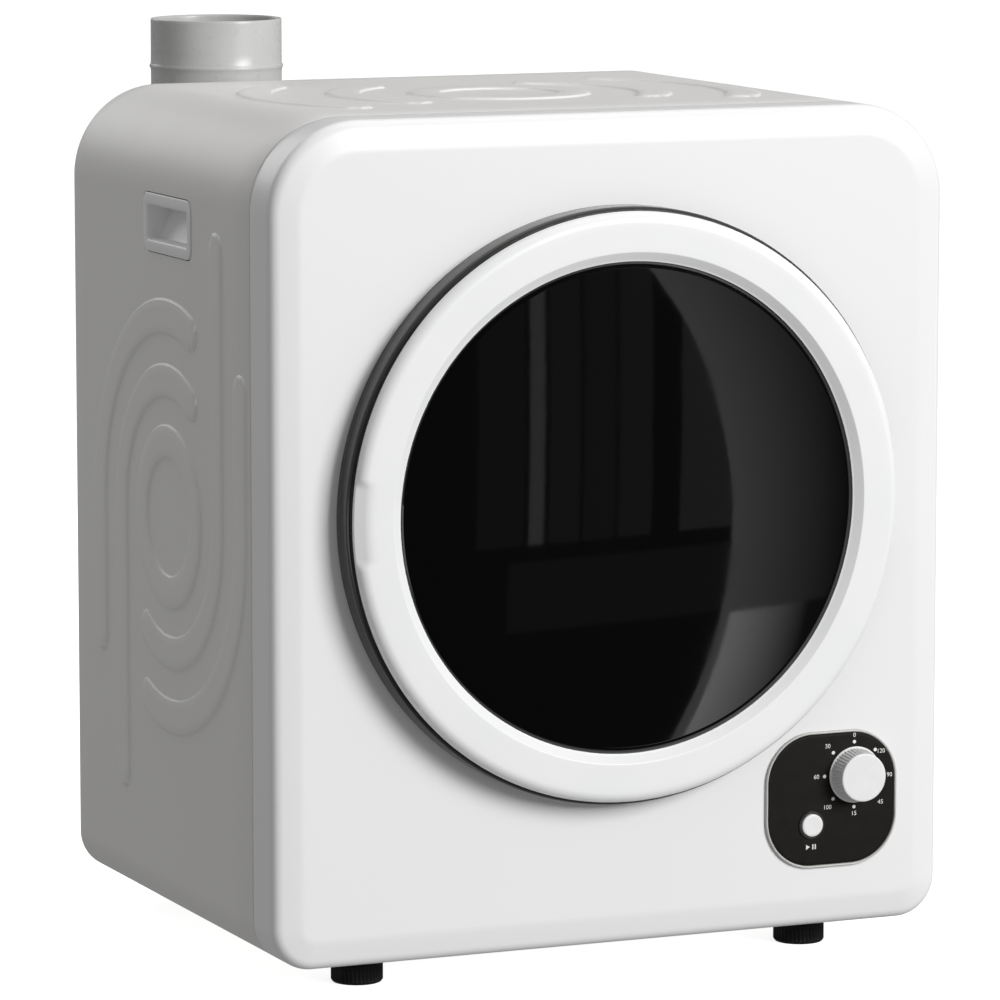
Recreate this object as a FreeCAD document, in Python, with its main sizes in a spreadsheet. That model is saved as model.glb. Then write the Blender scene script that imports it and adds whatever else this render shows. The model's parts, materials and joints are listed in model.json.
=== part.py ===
import FreeCAD, Part
import math
import os
import Sketcher

# Compact vented clothes dryer: painted cabinet, round door, timer dial, start button, drum and belt drive.
# Millimetres. +Z up, X across, Y from front to rear. Every shape is drawn with y = 0 on the front
# panel's face and z = 0 on the floor; each node's Placement then carries it back by front_y, so that
# the origin is the middle of the footprint.

SIZES = {
    # whole cabinet
    "front_y": -250.5, "cab_w": 530, "cab_d": 418, "cab_h": 607, "foot_gap": 23,
    "top_r": 68, "low_r": 31, "panel_d": 44, "panel_round": 17.5, "panel_t": 3, "sheet_t": 1,
    "lip_w": 12, "relief": 1.5,
    # door, measured from its own centre
    "door_z": 347, "collar_r": 217, "collar_front": -19, "throat_r": 198, "ring_r": 214,
    "ring_back": -21.2, "ring_front": -30, "ring_round": 8, "bevel_r": 184, "glass_r": 178,
    "glass_edge": -25, "glass_mid": -29.5, "frame_r": 193, "liner_r": 150, "liner_y": 52.5,
    "hinge_x": 212.5, "hinge_y": -11.6, "knuckle_r": 4.5, "pin_r": 2.5, "knuckle_half": 12.5,
    "hinge_half": 34, "latch_x": -206,
    # controls
    "plate_x": 174.5, "plate_z": 118.3, "plate_w": 107.4, "plate_h": 101.8, "plate_r": 37.5,
    "bezel_w": 3.2, "bezel_t": 2.5, "dial_x": 193, "dial_z": 135.5, "knob_r": 21, "knob_top_r": 17.8,
    "knob_back": -2.6, "knob_front": -18.5, "spindle_r": 3, "button_x": 158, "button_z": 100,
    "button_r": 8.4, "button_front": -4.5,
    # drum
    "drum_r": 230, "neck_r": 207.5, "neck_y": 46, "drum_front": 84, "drum_rear": 326, "drum_t": 1,
    "hub_r": 204, "shaft_r": 10, "filter_r": 116, "filter_t": 20,
    # motor, fan and belts
    "motor_x": 150, "motor_z": 88, "motor_r": 42, "motor_y": 150, "motor_len": 105, "axle_r": 6,
    "pulley_r": 8, "belt_y": 282, "belt_w": 12, "belt_t": 2, "fan_r": 100, "fan_y": 352,
    "fan_depth": 30, "fan_pulley_r": 45, "drive_pulley_r": 38, "fan_belt_y": 393, "fan_belt_w": 7,
    "run_gap": 0.05, "belt_gap": 0.3, "idler_r": 15, "idler_x": 47.4, "idler_z": 82.6,
    "pivot_x": 100, "pivot_z": 50,
    # rear air path
    "bulk_y": 334, "bulk_t": 1.2, "volute_y": 342, "volute_d": 48, "volute_r": 130, "duct_x": -125,
    "duct_z": 540, "duct_half": 50, "pipe_r": 51, "pipe_t": 0.95, "pipe_y": 480, "pipe_top": 675.5,
    # feet and side handles
    "foot_x": 178.5, "foot_y": 60, "foot_back_y": 358, "foot_r": 19, "foot_t": 14.5, "stud_r": 5,
    "grip_y": 211, "grip_z": 540.5, "grip_w": 84, "grip_h": 25.6, "grip_in": 22,
    # raised figures on the sides and the top
    "figure_y": 213, "figure_z": 325,
}

doc = FreeCAD.newDocument("ClothesDryer")
sheet = doc.addObject("Spreadsheet::Sheet", "Dims")
for row, (word, number) in enumerate(SIZES.items(), start=1):
    sheet.set("A%d" % row, word)
    sheet.set("B%d" % row, str(number))
    sheet.setAlias("B%d" % row, word)
doc.recompute()


class Size:
    """A length together with the sheet formula that gives it."""

    def __init__(self, value, text):
        self.value = float(value)
        self.text = text

    def join(self, other, sign, value):
        return Size(value, "(%s %s %s)" % (self.text, sign, size(other).text))

    def __add__(self, other):
        return self.join(other, "+", self.value + size(other).value)

    def __sub__(self, other):
        return self.join(other, "-", self.value - size(other).value)

    def __mul__(self, other):
        return self.join(other, "*", self.value * size(other).value)

    def __truediv__(self, other):
        return self.join(other, "/", self.value / size(other).value)

    def __radd__(self, other):
        return size(other) + self

    def __rsub__(self, other):
        return size(other) - self

    def __rmul__(self, other):
        return size(other) * self

    def __neg__(self):
        return size(0) - self


def size(thing):
    return thing if isinstance(thing, Size) else Size(thing, "%.6g" % thing)


class Names:
    pass


d = Names()
for word in SIZES:
    setattr(d, word, Size(SIZES[word], "Dims." + word))

half_w = d.cab_w / 2
low_z = d.foot_gap
top_z = d.foot_gap + d.cab_h
nodes = {}


def polar(centre, radius, degrees):
    """The point at a radius and angle round a centre, as two sizes."""
    turn = math.radians(degrees)
    radius = size(radius)
    across = Size(radius.value * math.cos(turn), "(%s * %.9f)" % (radius.text, math.cos(turn)))
    along = Size(radius.value * math.sin(turn), "(%s * %.9f)" % (radius.text, math.sin(turn)))
    return size(centre[0]) + across, size(centre[1]) + along


# ---- sketches -------------------------------------------------------------------------------
# A loop is ("circle", x, y, r) or a list of corners (x, y) and (x, y, r, side): the second kind
# starts an arc of radius r to the next corner, turning left for side 1 and right for side -1.

PLANE_SIGN = {"XY_Plane": 1, "XZ_Plane": -1, "YZ_Plane": 1}


def fix_point(rules, geometry, point, where):
    for kind, place in zip(("DistanceX", "DistanceY"), where):
        word = "%s_%d_%d" % (kind[-1].lower(), geometry, point)
        rules.append((Sketcher.Constraint(kind, -1, 1, geometry, point, place.value), word, place.text))


def fix_radius(rules, geometry, radius):
    rules.append((Sketcher.Constraint("Radius", geometry, radius.value), "r_%d" % geometry, radius.text))


def apply_rules(sketch, rules):
    """Adds all constraints in one go, then ties the named ones to the sheet."""
    first = sketch.ConstraintCount
    sketch.addConstraint([rule for rule, word, text in rules])
    for index, (rule, word, text) in enumerate(rules, start=first):
        if word:
            sketch.renameConstraint(index, word)
            sketch.setExpression(".Constraints." + word, text)


def arc_between(start, end, radius, side):
    """The shorter arc from start to end, with its centre on the left (1) or right (-1)."""
    chord = end - start
    middle = (start + end) * 0.5
    left = FreeCAD.Vector(-chord.y, chord.x, 0).normalize()
    rise = math.sqrt(max(radius ** 2 - (chord.Length / 2) ** 2, 0))
    centre = middle + left * (side * rise)
    first, last = (start, end) if side > 0 else (end, start)
    angles = [math.atan2(spot.y - centre.y, spot.x - centre.x) for spot in (first, last)]
    if angles[1] < angles[0]:
        angles[1] += 2 * math.pi
    circle = Part.Circle(centre, FreeCAD.Vector(0, 0, 1), radius)
    return Part.ArcOfCircle(circle, angles[0], angles[1])


def draw_loop(sketch, loop, rules):
    if loop[0] == "circle":
        x, y, radius = [size(item) for item in loop[1:]]
        middle = FreeCAD.Vector(x.value, y.value, 0)
        made = sketch.addGeometry(Part.Circle(middle, FreeCAD.Vector(0, 0, 1), radius.value))
        fix_point(rules, made, 3, (x, y))
        fix_radius(rules, made, radius)
        return
    corners = [tuple(size(item) for item in corner[:2]) for corner in loop]
    spots = [FreeCAD.Vector(x.value, y.value, 0) for x, y in corners]
    ends = []
    for index, corner in enumerate(loop):
        start, end = spots[index], spots[(index + 1) % len(loop)]
        if len(corner) == 2:
            made = sketch.addGeometry(Part.LineSegment(start, end))
            ends.append((made, 1, 2))
        else:
            radius, side = size(corner[2]), corner[3]
            made = sketch.addGeometry(arc_between(start, end, radius.value, side))
            ends.append((made, 1, 2) if side > 0 else (made, 2, 1))
            fix_radius(rules, made, radius)
    for index, (made, first, last) in enumerate(ends):
        following = ends[(index + 1) % len(ends)]
        rules.append((Sketcher.Constraint("Coincident", made, last, following[0], following[1]), None, None))
        fix_point(rules, made, first, corners[index])


def add_sketch(body, plane, level, loops):
    """A sketch on one of the body's own planes, moved to a level along the plane's world axis."""
    origin = [item for item in body.Origin.OriginFeatures if item.Role == plane][0]
    sketch = body.newObject("Sketcher::SketchObject", body.Name + "_sketch")
    sketch.AttachmentSupport = [(origin, "")]
    sketch.MapMode = "FlatFace"
    sketch.setExpression("AttachmentOffset.Base.z", "%d * (%s)" % (PLANE_SIGN[plane], size(level).text))
    rules = []
    for loop in loops:
        draw_loop(sketch, loop, rules)
    apply_rules(sketch, rules)
    return sketch


def new_body(name):
    body = doc.addObject("PartDesign::Body", name)
    body.AllowCompound = True
    return body


def pad(body, plane, level, depth, loops):
    """Material from the level onwards along the positive axis."""
    feature = body.newObject("PartDesign::Pad", body.Name + "_pad")
    feature.Profile = add_sketch(body, plane, level, loops)
    feature.setExpression("Length", size(depth).text)
    feature.Reversed = PLANE_SIGN[plane] < 0
    doc.recompute()
    return feature


def pocket(body, plane, level, depth, loops):
    """A cut from the level onwards along the positive axis; it must take something away."""
    before = body.Shape.Volume
    feature = body.newObject("PartDesign::Pocket", body.Name + "_pocket")
    feature.Profile = add_sketch(body, plane, level, loops)
    feature.setExpression("Length", size(depth).text)
    feature.Reversed = PLANE_SIGN[plane] > 0
    doc.recompute()
    if body.Shape.Volume > before - 0.5:
        raise ValueError("the pocket in %s removed nothing" % body.Name)
    return feature


def slab(name, plane, level, depth, loops):
    body = new_body(name)
    pad(body, plane, level, depth, loops)
    return body


def ring_pattern(body, feature, count, axis):
    """Repeats a feature evenly round one of the body's own axes."""
    pattern = body.newObject("PartDesign::PolarPattern", body.Name + "_pattern")
    pattern.Originals = [feature]
    line = [item for item in body.Origin.OriginFeatures if item.Role == axis][0]
    pattern.Axis = (line, [""])
    pattern.Angle = 360
    pattern.Occurrences = count
    body.Tip = pattern
    doc.recompute()
    return pattern


def row_pattern(body, feature, count, axis, length):
    """Repeats a feature evenly along one of the body's own axes."""
    pattern = body.newObject("PartDesign::LinearPattern", body.Name + "_row")
    pattern.Originals = [feature]
    line = [item for item in body.Origin.OriginFeatures if item.Role == axis][0]
    pattern.Direction = (line, [""])
    pattern.Length = length
    pattern.Occurrences = count
    body.Tip = pattern
    doc.recompute()
    return pattern


# ---- solids ---------------------------------------------------------------------------------

TURNS = {"x": FreeCAD.Rotation(FreeCAD.Vector(0, 1, 0), 90),
         "y": FreeCAD.Rotation(FreeCAD.Vector(1, 0, 0), -90),
         "z": FreeCAD.Rotation()}
where_is = {}


def put(thing, x=0, y=0, z=0, along=None):
    """Places an object; `along` is the world axis its own Z axis points along."""
    if along:
        thing.Placement = FreeCAD.Placement(FreeCAD.Vector(), TURNS[along])
    where_is[thing.Name] = size(y)
    for letter, place in zip("xyz", (x, y, z)):
        thing.setExpression("Placement.Base." + letter, size(place).text)
    return thing


def turned(name, corners, along, x=0, y=0, z=0):
    """A body of revolution: corners are (radius, distance along the axis)."""
    body = new_body(name)
    feature = body.newObject("PartDesign::Revolution", name + "_turn")
    sketch = add_sketch(body, "XZ_Plane", 0, [corners])
    feature.Profile = sketch
    feature.ReferenceAxis = (sketch, ["V_Axis"])
    feature.Angle = 360
    doc.recompute()
    return put(body, x, y, z, along)


def tube(name, outer, inner, start, end, along, x=0, y=0, z=0):
    corners = [(inner, start), (outer, start), (outer, end), (inner, end)]
    return turned(name, corners, along, x, y, z)


def rod(name, radius, start, end, along, x=0, y=0, z=0):
    """A cylinder from start to end along an axis through (x, y, z)."""
    thing = doc.addObject("Part::Cylinder", name)
    thing.setExpression("Radius", size(radius).text)
    thing.setExpression("Height", (size(end) - start).text)
    base = {"x": size(x), "y": size(y), "z": size(z)}
    base[along] = base[along] + start
    return put(thing, base["x"], base["y"], base["z"], along)


def ball(name, radius, x, y, z):
    thing = doc.addObject("Part::Sphere", name)
    thing.setExpression("Radius", size(radius).text)
    return put(thing, x, y, z)


def block(name, low, high):
    thing = doc.addObject("Part::Box", name)
    for word, first, last in zip(("Length", "Width", "Height"), low, high):
        thing.setExpression(word, (size(last) - first).text)
    return put(thing, *low)


def fused(name, things):
    result = doc.addObject("Part::MultiFuse", name)
    result.Shapes = things
    return put(result)


def cut(name, solid, tools):
    """A solid less one tool or the union of several."""
    result = doc.addObject("Part::Cut", name)
    result.Base = solid
    result.Tool = tools[0] if len(tools) == 1 else fused(name + "_tools", tools)
    return put(result)


def grouped(name, things):
    result = doc.addObject("Part::Compound", name)
    result.Links = things
    return put(result)


def node(thing):
    """Registers a finished piece under its own name and carries it back by front_y."""
    thing.Label = thing.Name
    thing.setExpression("Placement.Base.y", (where_is.get(thing.Name, size(0)) + d.front_y).text)
    where_is.setdefault(thing.Name, size(0))
    nodes[thing.Name] = thing
    return thing


def rounded(x_mid, y_mid, wide, high, radius):
    """A rounded rectangle loop about its middle."""
    left, right = size(x_mid) - size(wide) / 2, size(x_mid) + size(wide) / 2
    low, high = size(y_mid) - size(high) / 2, size(y_mid) + size(high) / 2
    return rounded_between(left, right, low, high, radius, radius)


def rounded_between(left, right, low, high, low_round, top_round):
    left, right, low, high = size(left), size(right), size(low), size(high)
    return [(left + low_round, low), (right - low_round, low, low_round, 1),
            (right, low + low_round), (right, high - top_round, top_round, 1),
            (right - top_round, high), (left + top_round, high, top_round, 1),
            (left, high - top_round), (left, low + low_round, low_round, 1)]


def outline(inset):
    """The cabinet's front-view outline, moved inwards all round."""
    return rounded_between(inset - half_w, half_w - inset, low_z + inset, top_z - inset,
                           d.low_r - inset, d.top_r - inset)


def fillet_plane(body, level, radius):
    """Rounds every edge of the tip that lies flat in the plane y = level."""
    tip = body.Tip
    picked = []
    for index, edge in enumerate(tip.Shape.Edges, start=1):
        box = edge.BoundBox
        if abs(box.YMin - level) < 1e-4 and abs(box.YMax - level) < 1e-4:
            picked.append("Edge%d" % index)
    feature = body.newObject("PartDesign::Fillet", body.Name + "_round")
    feature.Base = (tip, picked)
    feature.setExpression("Radius", size(radius).text)
    doc.recompute()
    return feature


def belt_loop(near, near_r, far, far_r):
    """An open belt line round two wheels, as two arcs' end points; returned as a closed outline."""
    gap = math.hypot(far[0].value - near[0].value, far[1].value - near[1].value)
    heading = math.degrees(math.atan2(far[1].value - near[1].value, far[0].value - near[0].value))
    lean = math.degrees(math.acos((near_r.value - far_r.value) / gap))
    low, high = heading - lean, heading + lean
    back = heading + 180
    return [polar(near, near_r, high) + (near_r, 1), polar(near, near_r, back) + (near_r, 1),
            polar(near, near_r, low), polar(far, far_r, low) + (far_r, 1), polar(far, far_r, high)]


# ---- cabinet --------------------------------------------------------------------------------

def raised_arc(centre, inner, outer, first, last):
    """A raised band bent round a centre, with rounded ends, between two angles."""
    cap = (size(outer) - inner) * 0.52
    return [polar(centre, outer, last) + (outer, -1), polar(centre, outer, first) + (cap, -1),
            polar(centre, inner, first) + (inner, 1), polar(centre, inner, last) + (cap, -1)]


def raised_hook(centre, inner, outer, end, leg, side):
    """A band over the centre that runs straight down at one end; side -1 turns it half round."""
    cap = (size(outer) - inner) * 0.52
    far = [polar(centre, side * size(reach), end) for reach in (inner, outer)]
    across = [centre[0] + side * size(reach) for reach in (inner, outer)]
    foot = centre[1] - side * size(leg)
    return [far[1] + (outer, -1), (across[1], centre[1]), (across[1], foot, cap, -1),
            (across[0], foot), (across[0], centre[1], inner, 1), far[0] + (cap, -1)]


def raised_ring(body, plane, level, centre):
    pad(body, plane, level, d.relief, [("circle", centre[0], centre[1], 69),
                                       ("circle", centre[0], centre[1], 43)])


def make_shell():
    shell = slab("cabinet_shell", "XZ_Plane", d.panel_d, d.cab_d - d.panel_d,
                 [outline(0), outline(d.sheet_t)])
    for level in (d.panel_d, d.cab_d - d.sheet_t):
        pad(shell, "XZ_Plane", level, d.sheet_t, [outline(d.sheet_t / 2), outline(d.sheet_t + d.lip_w)])
    side = (d.figure_y, d.figure_z)
    for level in (half_w, -half_w - d.relief):
        raised_ring(shell, "YZ_Plane", level, side)
        for way in (1, -1):
            pad(shell, "YZ_Plane", level, d.relief, [raised_hook(side, 88, 114, 119, 206, way)])
            pad(shell, "YZ_Plane", level, d.relief, [raised_hook(side, 135, 162, 109, 108, way)])
    middle = (size(0), d.figure_y)
    raised_ring(shell, "XY_Plane", top_z, middle)
    for first, last in ((145, 235), (-35, 55)):
        pad(shell, "XY_Plane", top_z, d.relief, [raised_arc(middle, 103, 130, first, last)])
    for first, last in ((148, 221.5), (-32, 41.5)):
        pad(shell, "XY_Plane", top_z, d.relief, [raised_arc(middle, 169, 196, first, last)])
    # room round each grip's cup, still under the grip's plate
    hole = rounded(d.grip_y, d.grip_z, d.grip_w + 12.6, d.grip_h + 15.4, 6)
    for level in (half_w - 3, -half_w - 3):
        pocket(shell, "YZ_Plane", level, 6, [hole])
    pocket(shell, "XY_Plane", low_z - 2, 6, [rounded(0, d.figure_y, 300, 250, 12)])
    studs = [("circle", x, y, 7) for x, y in foot_spots()]
    pocket(shell, "XY_Plane", low_z - 2, 6, studs)
    pocket(shell, "XZ_Plane", d.cab_d - 3, 6, [("circle", x, z, 1.8) for x, z in rear_screw_spots()])
    return shell


def foot_spots():
    return [(side * d.foot_x, y) for y in (d.foot_y, d.foot_back_y) for side in (-1, 1)]


def rear_screw_spots():
    edge = half_w - 8
    across = [(side * edge, z) for side in (-1, 1) for z in (120, 300, 480)]
    along = [(x, z) for x in (-150, 0, 150) for z in (low_z + 8, top_z - 8)]
    return across + along


def make_front_panel():
    outer = slab("front_outer", "XZ_Plane", 0, d.panel_d, [outline(0)])
    fillet_plane(outer, 0, d.panel_round)
    pocket(outer, "XZ_Plane", -1, 6, [("circle", 0, d.door_z, d.throat_r + 3)])
    pocket(outer, "XZ_Plane", -1, 6, [rounded(d.plate_x, d.plate_z, d.plate_w - 12, d.plate_h - 12,
                                              d.plate_r - 6)])
    inner = slab("front_hollow", "XZ_Plane", d.panel_t, d.panel_d, [outline(d.panel_t)])
    fillet_plane(inner, d.panel_t.value, d.panel_round - d.panel_t)
    return cut("front_panel", outer, [inner])


def make_base_tray():
    wide, deep = 466, d.cab_d - d.panel_d - 6
    y_mid = d.panel_d + (d.cab_d - d.panel_d) / 2
    tray = slab("base_tray", "XY_Plane", low_z + d.sheet_t, d.bulk_t, [rounded(0, y_mid, wide, deep, 12)])
    pad(tray, "XY_Plane", low_z + d.sheet_t, 16, [rounded(0, y_mid, wide, deep, 12),
                                                 rounded(0, y_mid, wide - 2.4, deep - 2.4, 10.8)])
    pocket(tray, "XY_Plane", low_z, 6, [("circle", x, y, 7) for x, y in foot_spots()])
    return tray


def make_rear_panel():
    panel = slab("rear_panel", "XZ_Plane", d.cab_d, d.bulk_t, [outline(5)])
    pocket(panel, "XZ_Plane", d.cab_d - 1, 4, [("circle", d.duct_x, d.duct_z, d.duct_half + 0.3),
                                             ("circle", 200, 62, 7.2)])
    pocket(panel, "XZ_Plane", d.cab_d - 1, 4, [("circle", x, z, 1.8) for x, z in rear_screw_spots()])
    for columns, lowest, rows in (((85, 135, 185), 430, 9), ((-185, -135, -85), 80, 6)):
        slots = [rounded(x, lowest, 44, 5, 2.4) for x in columns]
        cut_row = pocket(panel, "XZ_Plane", d.cab_d - 1, 4, slots)
        row_pattern(panel, cut_row, rows, "Z_Axis", 15 * (rows - 1))
    return panel


def make_screws(name, spots, face, reach, head_r):
    """Pan-head screws whose heads stand rearwards of a face; one solid each."""
    screws = []
    for index, (x, z) in enumerate(spots):
        corners = [(0, face - reach), (1.6, face - reach), (1.6, face), (head_r, face),
                   (head_r, face + 0.8), (head_r - 1, face + 1.8), (0, face + 1.8)]
        screws.append(turned("%s_%d" % (name, index), corners, "y", x, 0, z))
    return grouped(name, screws)


def make_side_handle(name, side):
    """A recessed grip: a thin plate on the cabinet's side with a cup behind it."""
    face = side * half_w
    plate_low = face if side > 0 else face - 1.8
    handle = slab(name, "YZ_Plane", plate_low, 1.8,
                  [rounded(d.grip_y + 0.5, d.grip_z, 99, 43.8, 8), grip_loop(0)])
    cup_low = face - d.grip_in if side > 0 else face
    pad(handle, "YZ_Plane", cup_low, d.grip_in, [grip_loop(4), grip_loop(0)])
    floor_low = face - d.grip_in if side > 0 else face + d.grip_in - 2
    pad(handle, "YZ_Plane", floor_low, 2, [grip_loop(2)])
    return handle


def grip_loop(grow):
    return rounded(d.grip_y, d.grip_z, d.grip_w + grow, d.grip_h + grow, 2.5 + grow * 0.1)


def make_collar():
    """The dark ring round the door mouth: a channel open to the rear, with a tube into the drum."""
    rim, front = d.collar_r, d.collar_front
    corners = [(rim, 0), (rim, front + 3, 3, -1), (rim - 3, front), (d.throat_r + 2, front, 2, -1),
               (d.throat_r, front + 2), (d.throat_r, 30), (d.throat_r + 2.5, 30),
               (d.throat_r + 2.5, front + 3), (rim - 3.5, front + 3), (rim - 3.5, 0)]
    ring = turned("collar_ring", corners, "y", 0, 0, d.door_z)
    notch = block("collar_notch", (202.5, front - 3, d.door_z - d.hinge_half - 2),
                  (224, 0.5, d.door_z + d.hinge_half + 2))
    slot = block("collar_slot", (d.latch_x - 6, front - 2, d.door_z - 8.5),
                 (d.latch_x + 4, front + 4, d.door_z + 8.5))
    return cut("door_collar", ring, [notch, slot])


def make_front_support():
    """The front bulkhead: a sheet behind the front panel with the hub that the drum's neck runs on."""
    sheet_body = slab("support_sheet", "XZ_Plane", 39, 1.5, [outline(4), ("circle", 0, d.door_z, 202)])
    pocket(sheet_body, "XZ_Plane", 38, 4, [rounded(d.dial_x, d.dial_z, 56, 52, 4)])
    hub = tube("support_hub", d.hub_r, d.hub_r - 3, 20, 68, "y", 0, 0, d.door_z)
    return fused("drum_front_support", [sheet_body, hub])


def make_glides():
    """Two low-friction pads under the drum's neck."""
    pads = []
    for index, angle in enumerate((235, 305)):
        pad_ring = tube("glide_ring_%d" % index, d.neck_r - 0.35, d.hub_r + 0.02, 58, 67, "y", 0, 0, d.door_z)
        window = block("glide_window_%d" % index, (-25, 57, d.hub_r - 12), (25, 68, d.hub_r + 12))
        window.Placement.Rotation = FreeCAD.Rotation(FreeCAD.Vector(0, 1, 0), 90 - angle)
        x, z = polar((0, d.door_z), d.hub_r - 12, angle)
        side_x, side_z = polar((0, 0), 25, angle + 90)
        put(window, x + side_x, 57, z + side_z)
        pads.append(doc.addObject("Part::Common", "glide_%d" % index))
        pads[-1].Base = pad_ring
        pads[-1].Tool = window
    return grouped("drum_glides", pads)


def make_bulkhead():
    sheet_body = slab("rear_bulkhead", "XZ_Plane", d.bulk_y, d.bulk_t, [outline(1.3)])
    pocket(sheet_body, "XZ_Plane", d.bulk_y - 1, 4, [
        ("circle", 0, d.door_z, 72), ("circle", d.motor_x, d.motor_z, 14),
        rounded(130, 505, 112, 82, 6)])
    # the lower edge stops short of the tray, whose upturned sides stand in front of it
    pocket(sheet_body, "XZ_Plane", d.bulk_y - 1, 4, [rounded(0, d.foot_gap + 5, 480, 46, 2)])
    return sheet_body


def make_volute():
    """Fan casing behind the drum with the duct that rises to the outlet, hollow right through."""
    front, rear = d.volute_y, d.volute_y + d.volute_d
    wall = 1.5
    drum_part = rod("volute_drum", d.volute_r, front, rear, "y", 0, 0, d.door_z)
    duct_part = block("volute_duct", (d.duct_x - d.duct_half, front, 330),
                      (d.duct_x + d.duct_half, rear, d.duct_z + d.duct_half + 2))
    outer = fused("volute_outer", [drum_part, duct_part])
    hollow = rod("volute_drum_in", d.volute_r - wall, front + wall, rear - wall, "y", 0, 0, d.door_z)
    duct_in = block("volute_duct_in", (d.duct_x - d.duct_half + wall, front + wall, 332),
                    (d.duct_x + d.duct_half - wall, rear - wall, d.duct_z + d.duct_half))
    inlet = rod("volute_inlet", 66, front - 1, front + 3, "y", 0, 0, d.door_z)
    back_hole = rod("volute_back_hole", 24, rear - 3, rear + 1, "y", 0, 0, d.door_z)
    outlet = rod("volute_outlet", 47.5, rear - 3, rear + 1, "y", d.duct_x, 0, d.duct_z)
    return cut("fan_volute", outer, [hollow, duct_in, inlet, back_hole, outlet])


def make_exhaust_collar():
    rear = d.volute_y + d.volute_d
    corners = [(47.5, rear), (d.duct_half, rear), (d.duct_half, d.cab_d + 1.2), (64, d.cab_d + 1.2),
               (64, d.cab_d + 3), (d.duct_half, d.cab_d + 3), (d.duct_half, d.cab_d + 22), (47.5, d.cab_d + 22)]
    return turned("exhaust_collar", corners, "y", d.duct_x, 0, d.duct_z)


def make_elbow():
    """A plastic elbow that turns on the collar: two pipes meeting in a ball."""
    start = d.cab_d + 3.6
    solids, hollows = [], []
    for things, radius, extra, word in ((solids, d.pipe_r, 0, "outer"),
                                        (hollows, d.pipe_r - d.pipe_t, 1, "inner")):
        things.append(rod("elbow_level_" + word, radius, start - extra, d.pipe_y, "y", d.duct_x, 0, d.duct_z))
        things.append(rod("elbow_rise_" + word, radius, d.duct_z, d.pipe_top + extra, "z", d.duct_x, d.pipe_y, 0))
        things.append(ball("elbow_ball_" + word, radius, d.duct_x, d.pipe_y, d.duct_z))
    solids.append(rod("elbow_bead", d.pipe_r + 1.5, 637, 641, "z", d.duct_x, d.pipe_y, 0))
    return cut("exhaust_elbow", fused("elbow_outer", solids), hollows)


def make_bearing_housing():
    rear = d.cab_d - 14
    beam = slab("housing_beam", "XZ_Plane", rear, 1.5, [rounded(0, d.door_z, d.cab_w - 3, 52, 4)])
    boss = rod("housing_boss", 24, rear, d.cab_d - 2, "y", 0, 0, d.door_z)
    bore = rod("housing_bore", d.shaft_r + d.run_gap, rear - 2, d.cab_d, "y", 0, 0, d.door_z)
    return cut("bearing_housing", fused("housing_solid", [beam, boss]), [bore])


# ---- motor, belts and heater ----------------------------------------------------------------

def make_motor():
    end = d.motor_y + d.motor_len
    tube("motor_stator", d.motor_r, 24, d.motor_y, end, "y", d.motor_x, 0, d.motor_z)
    bells = []
    for index, (low, high) in enumerate(((d.motor_y - 12, d.motor_y), (end, end + 12))):
        bells.append(tube("bell_%d" % index, d.motor_r + 1, d.axle_r + d.run_gap, low, high, "y",
                          d.motor_x, 0, d.motor_z))
    grouped("motor_end_bells", bells)
    cradle = []
    for index, level in enumerate((d.motor_y + 8, end - 11)):
        plate = slab("cradle_%d" % index, "XZ_Plane", level, 3, [
            [(d.motor_x - 52, low_z + 2.2), (d.motor_x + 52, low_z + 2.2), (d.motor_x + 44, d.motor_z),
             (d.motor_x - 44, d.motor_z)]])
        pocket(plate, "XZ_Plane", level - 1, 6, [("circle", d.motor_x, d.motor_z, d.motor_r + 0.05)])
        cradle.append(plate)
    strap = block("cradle_foot", (d.motor_x - 52, d.motor_y + 8, low_z + 2.2),
                  (d.motor_x + 52, d.belt_y - 6, low_z + 4.2))
    foot = low_z + 2.2
    post = slab("idler_post", "XZ_Plane", d.belt_y - 9, 3, [
        [(d.pivot_x - 15, foot), (d.pivot_x + 15, foot), (d.pivot_x + 9, d.pivot_z + 8),
         (d.pivot_x - 9, d.pivot_z + 8)]])
    stud = rod("idler_stud", 4, d.belt_y - 9, d.belt_y, "y", d.pivot_x, 0, d.pivot_z)
    fused("motor_bracket", cradle + [strap, post, stud])
    return [doc.getObject(word) for word in ("motor_stator", "motor_end_bells", "motor_bracket")]


def make_rotor():
    end = d.motor_y + d.motor_len
    corners = [(0, d.motor_y - 18), (d.axle_r, d.motor_y - 18), (d.axle_r, d.motor_y + 8), (23.4, d.motor_y + 8),
               (23.4, end - 8), (d.axle_r, end - 8), (d.axle_r, 404), (0, 404)]
    rotor = turned("motor_rotor", corners, "y", d.motor_x, 0, d.motor_z)
    low, high = d.belt_y - 2, d.belt_y + d.belt_w + 2
    rim = d.pulley_r + 4
    corners = [(d.axle_r, low), (rim, low), (rim, low + 1.5), (d.pulley_r, low + 1.5),
               (d.pulley_r, high - 1.5), (rim, high - 1.5), (rim, high), (d.axle_r, high)]
    small = turned("drum_pulley", corners, "y", d.motor_x, 0, d.motor_z)
    low, high = d.fan_belt_y - 1, d.fan_belt_y + d.fan_belt_w + 1
    rim = d.drive_pulley_r + 3
    corners = [(d.axle_r, low), (rim, low), (rim, low + 0.6), (d.drive_pulley_r, low + 0.6),
               (d.drive_pulley_r, high - 0.6), (rim, high - 0.6), (rim, high), (d.axle_r, high)]
    large = turned("fan_drive_pulley", corners, "y", d.motor_x, 0, d.motor_z)
    return [rotor, small, large]


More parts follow.
